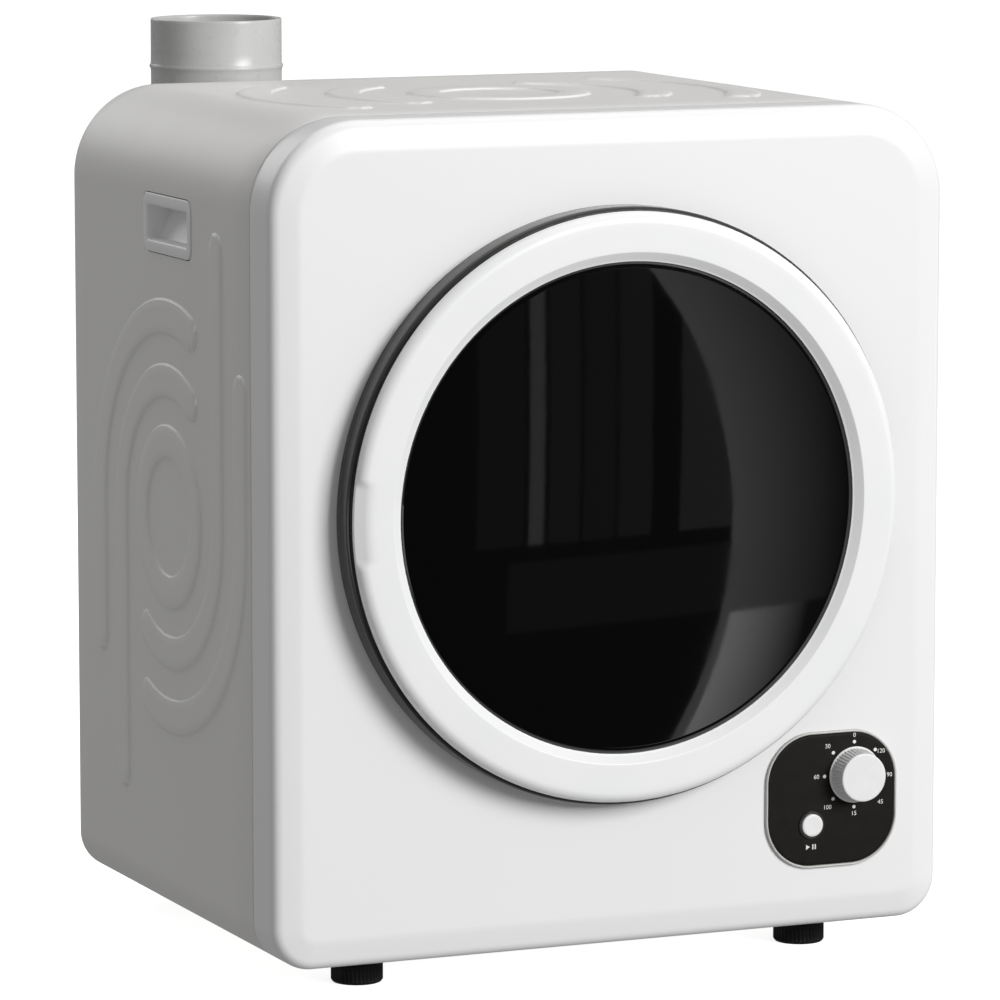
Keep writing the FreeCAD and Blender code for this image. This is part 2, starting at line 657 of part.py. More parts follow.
def make_fan():
    """Backward disc with straight blades, its pulley and sleeve in one moulding."""
    low, high = d.fan_y, d.fan_y + d.fan_depth
    bore = d.shaft_r + d.run_gap
    end = d.fan_belt_y + d.fan_belt_w + 1
    groove = d.fan_belt_y - 0.4
    corners = [(bore, low + 6), (18, low + 6), (18, high - 2), (d.fan_r, high - 2), (d.fan_r, high), (20, high),
               (20, groove - 0.6), (d.fan_pulley_r + 3, groove - 0.6), (d.fan_pulley_r + 3, groove),
               (d.fan_pulley_r, groove), (d.fan_pulley_r, end - 0.6), (d.fan_pulley_r + 3, end - 0.6),
               (d.fan_pulley_r + 3, end), (bore, end)]
    fan = turned("fan_impeller", corners, "y", 0, 0, d.door_z)
    blade = pad(fan, "XY_Plane", low, d.fan_depth - 1.5, [[(62, -1), (d.fan_r - 0.5, -1), (d.fan_r - 0.5, 1),
                                                        (62, 1)]])
    ring_pattern(fan, blade, 20, "Z_Axis")
    pad(fan, "XY_Plane", low, 2, [("circle", 0, 0, d.fan_r), ("circle", 0, 0, 68)])
    return fan


def make_belt(name, near, near_r, far, far_r, level, wide):
    loops = [belt_loop(near, near_r + extra, far, far_r + extra) for extra in
             (d.belt_gap, d.belt_gap + d.belt_t)]
    return slab(name, "XZ_Plane", level, wide, loops)


def make_idler():
    low, high = d.belt_y - 0.5, d.belt_y + d.belt_w + 0.5
    wheel = tube("idler_pulley", d.idler_r, 3 + d.run_gap, low, high, "y", d.idler_x, 0, d.idler_z)
    tail_x, tail_z = d.pivot_x + 28, d.pivot_z + 6
    bar = slab("arm_bar", "XZ_Plane", d.belt_y - 5, 3, [belt_loop((d.pivot_x, d.pivot_z), size(9),
                                                                 (d.idler_x, d.idler_z), size(7))])
    tail = slab("arm_tail", "XZ_Plane", d.belt_y - 5, 3, [belt_loop((d.pivot_x, d.pivot_z), size(9),
                                                                   (tail_x, tail_z), size(5))])
    axle = rod("arm_axle", 3, d.belt_y - 5, high, "y", d.idler_x, 0, d.idler_z)
    bore = rod("arm_bore", 4 + d.run_gap, d.belt_y - 8, d.belt_y + 4, "y", d.pivot_x, 0, d.pivot_z)
    arm = cut("idler_arm", fused("arm_solid", [bar, tail, axle]), [bore])
    return wheel, arm


def make_spring():
    """Coil spring between the arm's tail and the tray."""
    body = new_body("tension_spring")
    coil = body.newObject("PartDesign::AdditiveHelix", "tension_spring_coil")
    sketch = add_sketch(body, "XZ_Plane", 0, [("circle", 4, 0, 0.6)])
    coil.Profile = sketch
    coil.ReferenceAxis = (sketch, ["V_Axis"])
    coil.Mode = 0
    coil.Pitch = 2.6
    coil.Height = 22
    doc.recompute()
    return put(body, d.pivot_x + 28, d.belt_y - 3.5, low_z + 3.4)


def make_heater():
    low, high = d.bulk_y + d.bulk_t, d.bulk_y + 44
    box_out = block("heater_box", (70, low, 460), (190, high, 550))
    box_in = block("heater_box_in", (71.2, low - 1, 461.2), (188.8, high - 1.2, 548.8))
    intake = rod("heater_intake", 32, high - 3, high + 1, "y", 130, 0, 505)
    housing = cut("heater_housing", box_out, [box_in, intake])
    core = slab("heater_core", "XZ_Plane", low + 8, 24, [rounded(130, 505, 117.4, 87.4, 1)])
    slots = [rounded(x, 505, 5, 70, 1) for x in range(80, 181, 10)]
    pocket(core, "XZ_Plane", low + 7, 26, slots)
    return housing, core


# ---- controls -------------------------------------------------------------------------------

def plate_loop(inset):
    return rounded(d.plate_x, d.plate_z, d.plate_w - 2 * size(inset), d.plate_h - 2 * size(inset),
                   d.plate_r - inset)


def make_controls():
    bezel = slab("control_bezel", "XZ_Plane", -d.bezel_t, d.bezel_t, [plate_loop(0), plate_loop(d.bezel_w)])
    plate = slab("control_plate", "XZ_Plane", -1.8, 1.8, [plate_loop(d.bezel_w + 0.05)])
    pad(plate, "XZ_Plane", -1, 5, [plate_loop(6.2)])
    pocket(plate, "XZ_Plane", -3, 8, [("circle", d.dial_x, d.dial_z, 4.5),
                                     ("circle", d.button_x, d.button_z, d.button_r + 0.35)])
    ring = tube("button_ring", d.button_r + 1.7, d.button_r + 0.35, -3, -1.8, "y", d.button_x, 0, d.button_z)
    timer = slab("timer_body", "XZ_Plane", 4.1, 46, [rounded(d.dial_x, d.dial_z, 46, 42, 3)])
    pocket(timer, "XZ_Plane", 3, 16, [("circle", d.dial_x, d.dial_z, d.spindle_r + d.run_gap)])
    switch = slab("start_switch", "XZ_Plane", 9, 20, [rounded(d.button_x, d.button_z, 18, 16, 1.5)])
    return bezel, plate, ring, timer, switch


def make_knob():
    """Timer knob: a ribbed, slightly tapered cap with a flared skirt, and its spindle."""
    back, front = d.knob_back, d.knob_front
    corners = [(0, back - 10), (d.spindle_r, back - 10), (d.spindle_r, back), (d.knob_r, back),
               (d.knob_r, back - 2), (d.knob_top_r + 1, back - 4), (d.knob_top_r, front + 1.5, 1.5, -1),
               (d.knob_top_r - 1.5, front), (0, front)]
    knob = turned("timer_knob", corners, "y", d.dial_x, 0, d.dial_z)
    groove = pocket(knob, "XY_Plane", front + 2, 8.5, [("circle", d.knob_top_r + 0.9, 0, 0.9)])
    ring_pattern(knob, groove, 36, "Z_Axis")
    spindle = rod("timer_spindle", d.spindle_r, back - 10, 18, "y", d.dial_x, 0, d.dial_z)
    return knob, spindle


def make_button():
    corners = [(0, d.button_front), (d.button_r - 1, d.button_front, 1.02, 1),
               (d.button_r, d.button_front + 1), (d.button_r, 4), (2.5, 4), (2.5, 6.2), (0, 6.2)]
    return turned("start_button", corners, "y", d.button_x, 0, d.button_z)


# ---- door -----------------------------------------------------------------------------------

def make_door():
    back, front = d.ring_back, d.ring_front
    corners = [(d.glass_r + 0.2, back), (d.ring_r, back), (d.ring_r, front + d.ring_round, d.ring_round, -1),
               (d.ring_r - d.ring_round, front), (d.bevel_r, front), (d.glass_r + 0.2, d.glass_edge)]
    ring = turned("ring_turned", corners, "y", 0, 0, d.door_z)
    facet = block("ring_facet", (0, 0, 0), (16, 12, 60))
    facet.Placement.Rotation = FreeCAD.Rotation(FreeCAD.Vector(0, 0, 1), -52)
    put(facet, -d.ring_r - 9, -25.5, d.door_z - 30)
    door_ring = cut("door_ring", ring, [facet])
    bulge = d.glass_edge - d.glass_mid
    sphere = (d.glass_r.value ** 2 + bulge.value ** 2) / (2 * bulge.value)
    sphere_r = Size(sphere, "((%s * %s + %s * %s) / (2 * %s))" % (
        d.glass_r.text, d.glass_r.text, bulge.text, bulge.text, bulge.text))
    glass = turned("window_glass", [(0, d.glass_mid + 3.8, sphere_r, 1), (d.glass_r, back),
                                    (d.glass_r, d.glass_edge, sphere_r, -1), (0, d.glass_mid)],
                   "y", 0, 0, d.door_z)
    frame = turned("door_frame", [(172, back), (d.frame_r, back), (d.frame_r, 1), (184, 1), (178, -12),
                                  (172, -12)], "y", 0, 0, d.door_z)
    liner = turned("door_liner", [(d.frame_r - 3, 1), (d.frame_r - 3, 3.5), (164, 3.5),
                                  (d.liner_r, d.liner_y), (0, d.liner_y), (0, d.liner_y - 2.5),
                                  (d.liner_r - 2, d.liner_y - 2.5), (162, 1)], "y", 0, 0, d.door_z)
    holes = pocket(liner, "XY_Plane", 0, 5, [("circle", 187, 0, 1.7)])
    ring_pattern(liner, holes, 8, "Z_Axis")
    gasket = tube("door_gasket", d.frame_r + 3.4, d.frame_r, -18, -9, "y", 0, 0, d.door_z)
    spots = [polar((0, d.door_z), 187, angle) for angle in range(0, 360, 45)]
    screws = make_screws("door_screws", spots, size(3.5), 2.5, 2.8)
    return door_ring, glass, frame, liner, gasket, screws


def make_hinge():
    """Three knuckles on one pin: the outer two on the cabinet, the middle one on the door."""
    z = d.door_z
    plate = block("bracket_plate", (202.5, -2, z - d.hinge_half), (217, 0, z + d.hinge_half))
    solids = [plate]
    for side, word in ((-1, "low"), (1, "high")):
        near, far = z + side * (d.knuckle_half + 0.4), z + side * d.hinge_half
        start, end = (near, far) if side > 0 else (far, near)
        solids.append(rod("knuckle_" + word, d.knuckle_r, start, end, "z", d.hinge_x, d.hinge_y, 0))
        solids.append(block("web_" + word, (d.hinge_x - 2.5, d.hinge_y, start), (d.hinge_x + 2.5, -1, end)))
    bore = rod("bracket_bore", d.pin_r, z - 40, z + 40, "z", d.hinge_x, d.hinge_y, 0)
    bracket = cut("hinge_bracket", fused("bracket_solid", solids), [bore])
    pin = rod("hinge_pin", d.pin_r, z - 36, z + 36, "z", d.hinge_x, d.hinge_y, 0)
    low, high = z - d.knuckle_half, z + d.knuckle_half
    eye = rod("leaf_eye", d.knuckle_r, low, high, "z", d.hinge_x, d.hinge_y, 0)
    arm = block("leaf_arm", (d.hinge_x - d.knuckle_r, d.ring_back + 0.01, low), (d.hinge_x - 1, d.hinge_y, high))
    leaf = block("leaf_plate", (195, d.ring_back, low), (d.hinge_x - 2.2, d.ring_back + 1.4, high))
    run = rod("leaf_bore", d.pin_r + d.run_gap, low - 1, high + 1, "z", d.hinge_x, d.hinge_y, 0)
    hinge_leaf = cut("hinge_leaf", fused("leaf_solid", [eye, arm, leaf]), [run])
    return bracket, pin, hinge_leaf


def make_latch():
    x, z = d.latch_x, d.door_z
    shank = block("hook_shank", (x - 2.5, d.ring_back, z - 6), (x + 1.5, -11, z + 6))
    nose = block("hook_nose", (x - 4, -13, z - 6), (x - 2.5, -11, z + 6))
    hook = fused("latch_hook", [shank, nose])
    box_out = block("latch_box", (x - 7, d.collar_front + 3, z - 13), (x + 5, -2, z + 13))
    box_in = block("latch_box_in", (x - 5.8, d.collar_front + 2, z - 8.5), (x + 3.8, -4, z + 8.5))
    return hook, cut("latch_switch", box_out, [box_in])


# ---- drum -----------------------------------------------------------------------------------

def make_drum():
    thick = d.drum_t
    corners = [(d.neck_r, d.neck_y), (d.neck_r + thick, d.neck_y), (d.neck_r + thick, 69), (d.drum_r, d.drum_front),
               (d.drum_r, d.drum_rear), (d.drum_r - thick, d.drum_rear), (d.drum_r - thick, d.drum_front + 0.4),
               (d.neck_r, 69.4)]
    shell = turned("drum_shell", corners, "y", 0, 0, d.door_z)
    back = turned("drum_back", [(0, d.drum_rear - 1.2), (d.drum_r - thick, d.drum_rear - 1.2),
                                (d.drum_r - thick, d.drum_rear), (0, d.drum_rear)], "y", 0, 0, d.door_z)
    air = pocket(back, "XY_Plane", d.drum_rear - 2, 4, [("circle", reach, 0, 5) for reach in (150, 172, 194)])
    ring_pattern(back, air, 36, "Z_Axis")
    suction = pocket(back, "XY_Plane", d.drum_rear - 2, 4, [("circle", 68, 0, 20)])
    ring_pattern(back, suction, 8, "Z_Axis")
    lifters = []
    base = d.drum_r - thick
    for index, angle in enumerate((90, 210, 330)):
        half = 5.5
        corners = [polar((0, 0), base, angle - half) + (base, 1), polar((0, 0), base, angle + half),
                   polar((0, 0), 193, angle + 2) + (12, -1), polar((0, 0), 193, angle - 2)]
        lifter = slab("lifter_%d" % index, "XY_Plane", d.drum_front + 14, 200, [corners])
        lifters.append(put(lifter, 0, 0, d.door_z, "y"))
    group = grouped("drum_lifters", lifters)
    corners = [(0, d.drum_rear), (30, d.drum_rear), (30, d.drum_rear + 4), (d.shaft_r, d.drum_rear + 4),
               (d.shaft_r, d.cab_d - 3), (0, d.cab_d - 3)]
    shaft = turned("drum_shaft", corners, "y", 0, 0, d.door_z)
    return shell, back, group, shaft


def make_filter():
    """Lint cassette that clips over the suction holes in the drum's back."""
    rear = d.drum_rear - 1.5
    front = rear - d.filter_t
    corners = [(d.filter_r - 3, rear), (d.filter_r, rear), (d.filter_r - 8, front + 3), (d.filter_r - 12, front),
               (0, front), (0, front + 2.5), (d.filter_r - 13, front + 2.5), (d.filter_r - 10.5, front + 4.5)]
    cassette = turned("lint_filter", corners, "y", 0, 0, d.door_z)
    for reach, count in ((30, 8), (50, 12), (70, 18), (90, 24)):
        hole = pocket(cassette, "XY_Plane", front - 1, 5, [("circle", reach, 0, 4.5)])
        ring_pattern(cassette, hole, count, "Z_Axis")
    return cassette


# ---- feet -----------------------------------------------------------------------------------

def make_foot(name, x, y):
    corners = [(0, 0), (d.foot_r - 1.5, 0), (d.foot_r, 1.5), (d.foot_r, d.foot_t - 1.5),
               (d.foot_r - 1.5, d.foot_t), (11, d.foot_t), (11, low_z), (d.stud_r, low_z), (d.stud_r, 50), (0, 50)]
    return turned(name, corners, "z", x, y, 0)


def make_nuts():
    nuts = []
    for index, (x, y) in enumerate(foot_spots()):
        corners = [polar((x, y), 9, angle) for angle in range(0, 360, 60)]
        nut = slab("nut_%d" % index, "XY_Plane", low_z + d.sheet_t + d.bulk_t, 8, [corners])
        pocket(nut, "XY_Plane", low_z, 20, [("circle", x, y, d.stud_r + d.run_gap)])
        nuts.append(nut)
    return grouped("foot_nuts", nuts)


def make_gland():
    rear = d.cab_d + 1.2
    corners = [(4.2, rear - 6), (7, rear - 6), (7, rear), (10, rear), (10, rear + 3), (7.5, rear + 12),
               (4.2, rear + 12)]
    return turned("cord_gland", corners, "y", 200, 0, 62)


# ---- the whole machine ----------------------------------------------------------------------

axis = (size(0), d.door_z)
motor_axis = (d.motor_x, d.motor_z)
pieces = [make_front_panel(), make_shell(), make_base_tray(), make_rear_panel(),
          make_screws("rear_panel_screws", rear_screw_spots(), d.cab_d + 1.2, 3, 3.2),
          make_side_handle("side_handle_left", -1), make_side_handle("side_handle_right", 1),
          make_collar(), make_front_support(), make_glides(),
          tube("front_felt_seal", d.neck_r - 0.4, d.hub_r, 49, 57, "y", 0, 0, d.door_z),
          make_bulkhead(), make_volute(), make_exhaust_collar(), make_bearing_housing(),
          make_elbow(), make_fan(), make_spring(), make_button(), make_nuts(), make_gland(), make_filter(),
          make_belt("drum_belt", axis, d.drum_r, motor_axis, d.pulley_r, d.belt_y, d.belt_w),
          make_belt("fan_belt", axis, d.fan_pulley_r, motor_axis, d.drive_pulley_r, d.fan_belt_y, d.fan_belt_w)]
for group in (make_motor(), make_rotor(), make_idler(), make_heater(), make_controls(), make_knob(),
              make_door(), make_hinge(), make_latch(), make_drum()):
    pieces.extend(group)
foot_names = ("foot_front_left", "foot_front_right", "foot_rear_left", "foot_rear_right")
for name, (x, y) in zip(foot_names, foot_spots()):
    pieces.append(make_foot(name, x, y))
for piece in pieces:
    node(piece)
doc.recompute()

for thing in doc.Objects:
    if set(thing.State) & {"Invalid", "Error"}:
        raise ValueError("%s did not build: %s" % (thing.Name, thing.State))
os.makedirs("parts", exist_ok=True)
for name, piece in nodes.items():
    if piece.Shape.isNull() or not piece.Shape.isValid() or not piece.Shape.Solids:
        raise ValueError("%s has no sound solid" % name)
    piece.Shape.exportStep("parts/%s.step" % name)
print("%d nodes written" % len(nodes))
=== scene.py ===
import json
import math
import bpy
import numpy as np
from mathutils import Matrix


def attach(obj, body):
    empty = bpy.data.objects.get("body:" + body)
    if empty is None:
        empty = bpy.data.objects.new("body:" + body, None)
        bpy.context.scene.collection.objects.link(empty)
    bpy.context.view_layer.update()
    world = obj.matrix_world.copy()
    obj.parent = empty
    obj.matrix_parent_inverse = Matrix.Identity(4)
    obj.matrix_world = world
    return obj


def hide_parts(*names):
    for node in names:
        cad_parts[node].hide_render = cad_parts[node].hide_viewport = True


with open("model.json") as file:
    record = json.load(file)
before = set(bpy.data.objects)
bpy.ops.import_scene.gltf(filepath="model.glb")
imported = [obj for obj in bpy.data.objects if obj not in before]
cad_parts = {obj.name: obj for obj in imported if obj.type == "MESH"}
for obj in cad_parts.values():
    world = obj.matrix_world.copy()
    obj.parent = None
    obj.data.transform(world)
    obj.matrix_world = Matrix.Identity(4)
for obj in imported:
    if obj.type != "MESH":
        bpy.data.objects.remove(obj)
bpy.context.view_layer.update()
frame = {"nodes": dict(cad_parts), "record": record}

nodes = frame["nodes"]
record = frame["record"]
mm = 0.001
tau = 2 * math.pi

# Millimetres are used below, in the model's own frame: X across, Y rearwards, Z up from the floor.
# frontY is the front panel's face; most depths are counted from it.
cabinet = {"frontY": -250.5, "width": 530, "depth": 418, "low": 23, "top": 630, "topRound": 68,
           "lowRound": 31, "doorZ": 347, "loopPoints": 640}
frontY = cabinet["frontY"]
midZ = (cabinet["low"] + cabinet["top"]) / 2


# Each sRGB channel turned to linear light by the standard curve.
def toLinear(hexColour):
    channels = np.array([int(hexColour[i:i + 2], 16) for i in (1, 3, 5)]) / 255
    linear = np.where(channels <= 0.04045, channels / 12.92, ((channels + 0.055) / 1.055) ** 2.4)
    return tuple(float(c) for c in linear) + (1.0,)


# A mesh object from vertex rows in millimetres and faces; it rides on a body and may stand for CAD nodes.
def makeMesh(name, points, faces, body, material, smooth=True, stands=()):
    mesh = bpy.data.meshes.new(name)
    mesh.from_pydata((np.asarray(points, float) * mm).tolist(), [], [list(f) for f in faces])
    mesh.update()
    mesh.validate()
    piece = bpy.data.objects.new(name, mesh)
    bpy.context.scene.collection.objects.link(piece)
    mesh.materials.append(material)
    if smooth:
        mesh.polygons.foreach_set("use_smooth", [True] * len(mesh.polygons))
    if body:
        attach(piece, body)
    if stands:
        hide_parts(*stands)
    return piece


# Quads over a grid whose vertex (r, c) has index r * columns + c, closed round where asked.
def gridFaces(rows, columns, wrapRows=False, wrapColumns=False, start=0):
    r = np.arange(rows if wrapRows else rows - 1)
    c = np.arange(columns if wrapColumns else columns - 1)
    rr, cc = np.meshgrid(r, c, indexing="ij")
    nextR, nextC = (rr + 1) % rows, (cc + 1) % columns
    quads = np.stack([rr * columns + cc, nextR * columns + cc, nextR * columns + nextC,
                      rr * columns + nextC], axis=-1)
    return quads.reshape(-1, 4) + start


# Puts several (points, faces) pairs into one vertex list and one face list.
def joinGrids(parts):
    points, faces, total = [], [], 0
    for part, quads in parts:
        part = np.asarray(part, float).reshape(-1, 3)
        points.append(part)
        faces.extend([[int(i) + total for i in face] for face in quads])
        total += len(part)
    return np.concatenate(points), faces


# A polyline whose corner (x, y, r) is replaced by an arc of radius r that touches both its sides.
def roundPath(corners, steps=6):
    made = []
    count = len(corners)
    for i, corner in enumerate(corners):
        here = np.array(corner[:2], float)
        radius = corner[2] if len(corner) > 2 else 0
        if radius <= 0 or i in (0, count - 1):
            made.append(here)
            continue
        before = np.array(corners[i - 1][:2], float) - here
        after = np.array(corners[i + 1][:2], float) - here
        before, after = before / np.linalg.norm(before), after / np.linalg.norm(after)
        half = math.acos(np.clip(before @ after, -1, 1)) / 2
        centre = here + (before + after) / np.linalg.norm(before + after) * radius / math.sin(half)
        first = here + before * radius / math.tan(half) - centre
        last = here + after * radius / math.tan(half) - centre
        turn = math.atan2(first[0] * last[1] - first[1] * last[0], first @ last)
        t = np.linspace(0, turn, steps + 1)
        made.extend(centre + np.stack([first[0] * np.cos(t) - first[1] * np.sin(t),
                                       first[0] * np.sin(t) + first[1] * np.cos(t)], 1))
    return np.array(made)


# Extra points along the runs of a polyline that are longer than the given length.
def splitLong(path, longest):
    made = [path[0]]
    for a, b in zip(path[:-1], path[1:]):
        parts = max(1, int(np.ceil(np.linalg.norm(b - a) / longest)))
        made.extend(a + (b - a) * np.arange(1, parts + 1)[:, None] / parts)
    return np.array(made)


# A profile of (radius, depth) carried round an axis: x = r cos a, z = r sin a, y = depth.
# shape(radius, depth, angle) may change both over the grid.
def turnProfile(profile, steps, shape=None):
    angle = np.linspace(0, tau, steps, endpoint=False)[:, None]
    radius = np.broadcast_to(profile[:, 0], (steps, len(profile))).copy()
    depth = np.broadcast_to(profile[:, 1], (steps, len(profile))).copy()
    if shape:
        radius, depth = shape(radius, depth, angle)
    return np.stack([radius * np.cos(angle), depth, radius * np.sin(angle)], axis=-1)


# A turned piece: corners (radius, depth, round) about a centre, along Y or Z; closed joins last to first.
# An end that stands on the axis is closed by one pole point.
def lathe(name, corners, centre, body, material, steps=192, closed=True, along="y", shape=None, roundSteps=6,
          stands=(), longest=400):
    profile = roundPath(corners + corners[:1] if closed else corners, roundSteps)
    profile = splitLong(profile, longest)
    if closed:
        profile = profile[:-1]
    grid = turnProfile(profile, steps, shape)
    count = len(profile)
    faces = gridFaces(steps, count, wrapRows=True, wrapColumns=closed)
    points = grid.reshape(-1, 3)
    if not closed:
        faces = closePoles(faces, profile, steps)
    points, faces = dropUnused(points, faces)
    if along == "z":
        points = np.stack([points[:, 0], -points[:, 2], points[:, 1]], 1)
    points = points + np.array(centre, float)
    faces = faceOut(points, faces)
    return makeMesh(name, points, faces, body, material, True, stands)


# Where the profile starts or ends on the axis, the ring of equal points becomes a single one.
def closePoles(faces, profile, steps):
    count = len(profile)
    faces = [list(map(int, face)) for face in faces]
    for column in (0, count - 1):
        if abs(profile[column, 0]) < 1e-6:
            first = column
            ring = set(int(r * count + column) for r in range(steps))
            faces = [[first if i in ring else i for i in face] for face in faces]
    clean = []
    for face in faces:
        short = [v for k, v in enumerate(face) if v != face[k - 1]]
        if len(short) > 2:
            clean.append(short)
    return clean


# Removes points that no face uses and numbers the faces again.
def dropUnused(points, faces):
    used = np.unique(np.concatenate([np.asarray(face) for face in faces]))
    number = np.full(len(points), -1)
    number[used] = np.arange(len(used))
    return points[used], [[int(number[i]) for i in face] for face in faces]


# Turns all faces of a closed shape round if its signed volume comes out negative.
def faceOut(points, faces):
    tri = np.array([(f[0], f[k], f[k + 1]) for f in faces for k in range(1, len(f) - 1)])
    a, b, c = points[tri[:, 0]], points[tri[:, 1]], points[tri[:, 2]]
    middle = points.mean(0)
    volume = np.einsum("ij,ij->i", a - middle, np.cross(b - middle, c - middle)).sum()
    return faces if volume > 0 else [list(face)[::-1] for face in faces]


# Flips, in place, every face that looks away from a direction.
def turnToward(points, faces, direction):
    direction = np.array(direction, float)
    for i, face in enumerate(faces):
        a, b, c, e = (points[k] for k in (face[0], face[1], face[2], face[-1]))
        if np.dot(np.cross(c - a, e - b), direction) < 0:
            faces[i] = list(face)[::-1]


# Points round a rectangle with corner radii low and top, starting at the middle of its right side.
# Every loop has the same share of points in each side and corner, so loops can be joined into a skin.
def roundedLoop(wide, high, low, top, count=240):
    w, h = wide / 2, high / 2
    share = np.linspace(0, 1, count // 8, endpoint=False)
    arcs = []
    for x, z, radius, start in ((w - top, h - top, top, 0), (top - w, h - top, top, 90),
                                (low - w, low - h, low, 180), (w - low, low - h, low, 270)):
        angle = np.radians(start + 90 * np.append(share, 1))
        arcs.append(np.stack([x + radius * np.cos(angle), z + radius * np.sin(angle)], 1))
    made = []
    for arc, following in zip(arcs, arcs[1:] + arcs[:1]):
        run = arc[-1] + (following[0] - arc[-1]) * share[:, None]
        made.extend([arc[:-1], run])
    return np.concatenate(made)


# The points of a circle at the same directions as a loop's own points.
def circleLike(loop, radius):
    angle = np.arctan2(loop[:, 1], loop[:, 0])
    return np.stack([radius * np.cos(angle), radius * np.sin(angle)], 1)


# A skin over loops of equal length; each is (points, depth), and place() puts (u, v, depth) in the frame.
def loopSkin(loops, place, closedRows=False, fillLast=False, fillFirst=False):
    grid = np.stack([place(points[:, 0], points[:, 1], np.broadcast_to(depth, len(points)))
                     for points, depth in loops])
    rows, columns = grid.shape[:2]
    faces = [list(map(int, f)) for f in gridFaces(rows, columns, closedRows, True)]
    points = grid.reshape(-1, 3)
    for wanted, row in ((fillFirst, 0), (fillLast, rows - 1)):
        if wanted:
            faces.append(list(range(row * columns, (row + 1) * columns)))
            if row:
                faces[-1] = faces[-1][::-1]
    return points, faces


# From 0 to 1 with level ends: t * t * (3 - 2 * t).
def smoothStep(t):
    t = np.clip(t, 0, 1)
    return t * t * (3 - 2 * t)


# Adds a shader node; settings go to attributes or input sockets, links are socket: (node, output).
def addNode(tree, kind, settings=None, links=None):
    node = tree.nodes.new(kind)
    for key, value in (settings or {}).items():
        if isinstance(key, str) and hasattr(node, key):
            setattr(node, key, value)
        else:
            node.inputs[key].default_value = value
    for key, (source, output) in (links or {}).items():
        tree.links.new(source.outputs[output], node.inputs[key])
    return node


# A material from a base colour, with a fine grain as bump, a slow colour drift and a roughness drift.
# grain is (size in mm, height in mm); mottle is (other colour, size in mm, amount); roughVary is
# (size in mm, amount). A grain that would be too fine to see is drawn as coarse as it needs to show.
def newMaterial(name, colour, rough=0.4, metallic=0.0, grain=None, mottle=None, roughVary=None, extra=None,
                stretch=(1, 1, 1)):
    material = bpy.data.materials.new(name)
    material.use_nodes = True
    tree = material.node_tree
    shader = tree.nodes["Principled BSDF"]
    shader.inputs["Base Color"].default_value = toLinear(colour)
    shader.inputs["Roughness"].default_value = rough
    shader.inputs["Metallic"].default_value = metallic
    for key, value in (extra or {}).items():
        shader.inputs[key].default_value = value
    where = addNode(tree, "ShaderNodeTexCoord")
    spot = addNode(tree, "ShaderNodeMapping", {"Scale": stretch}, {"Vector": (where, "Object")})
    if mottle:
        other, sizeMm, amount = mottle
        noise = addNode(tree, "ShaderNodeTexNoise", {"Scale": 1 / (sizeMm * mm), "Detail": 4.0},
                        {"Vector": (spot, "Vector")})
        ramp = addNode(tree, "ShaderNodeMapRange", {"From Min": 0.35, "From Max": 0.65, "To Max": amount},
                       {"Value": (noise, "Fac")})
        mix = addNode(tree, "ShaderNodeMixRGB", {"Color1": toLinear(colour), "Color2": toLinear(other)},
                      {"Fac": (ramp, "Result")})
        tree.links.new(mix.outputs["Color"], shader.inputs["Base Color"])
    if roughVary:
        sizeMm, amount = roughVary
        drift = addNode(tree, "ShaderNodeTexNoise", {"Scale": 1 / (sizeMm * mm), "Detail": 5.0},
                        {"Vector": (spot, "Vector")})
        band = addNode(tree, "ShaderNodeMapRange",
                       {"From Min": 0.3, "From Max": 0.7, "To Min": max(rough - amount, 0.02),
                        "To Max": rough + amount}, {"Value": (drift, "Fac")})
        tree.links.new(band.outputs["Result"], shader.inputs["Roughness"])
    if grain:
        sizeMm, heightMm = grain
        fine = addNode(tree, "ShaderNodeTexNoise", {"Scale": 1 / (sizeMm * mm), "Detail": 3.0},
                       {"Vector": (spot, "Vector")})
        bump = addNode(tree, "ShaderNodeBump", {"Strength": 1.0, "Distance": heightMm * mm},
                       {"Height": (fine, "Fac")})
        tree.links.new(bump.outputs["Normal"], shader.inputs["Normal"])
    return material


# Glossy white ABS moulding: a faint long-wave unevenness and a hint of grain keep the highlights soft.
glossAbs = newMaterial("glossyWhiteAbs", "#f2f2f2", 0.34, grain=(1.6, 0.002), roughVary=(60, 0.008))
# White stoved enamel on rolled steel: orange peel of about 2 mm, harder shine than the plastic.
enamel = newMaterial("whiteStovedEnamel", "#e9e8e6", 0.44, grain=(2.2, 0.006), mottle=("#e6e4e1", 160, 0.3),
                     roughVary=(40, 0.015))
# The door ring's own moulding: a shade brighter than the front, with a faint cool drift.
ringAbs = newMaterial("polishedWhiteAbs", "#f4f4f4", 0.34, grain=(1.4, 0.004), mottle=("#eeeff1", 70, 0.4),
                      roughVary=(20, 0.03))
# Dark grey gloss ABS of the collar: piano-like shine with a faint cloudiness.
collarAbs = newMaterial("darkGreyGlossAbs", "#3a3a39", 0.16, grain=(1.2, 0.004),
                        mottle=("#333332", 40, 0.5), roughVary=(6, 0.05))
# Smoked float glass, almost black: a mirror-smooth coat over a body that lets very little through.
smokedGlass = newMaterial("smokedGlass", "#060606", 0.025, grain=(60, 0.02), roughVary=(45, 0.012),
                          extra={"IOR": 1.52, "Specular IOR Level": 0.62})
# Warm black polycarbonate fascia, satin, with a fine spark-eroded texture drawn at 0.5 mm.
fasciaBlack = newMaterial("satinBlackPolycarbonate", "#14110e", 0.4, grain=(0.5, 0.02),
                          mottle=("#181512", 14, 0.5), roughVary=(9, 0.04),
                          extra={"Specular IOR Level": 0.25})
# Light grey ABS bezel, smooth from the mould.
bezelGrey = newMaterial("lightGreyAbs", "#c9c8c5", 0.3, grain=(0.7, 0.01), mottle=("#bfbebb", 20, 0.5))
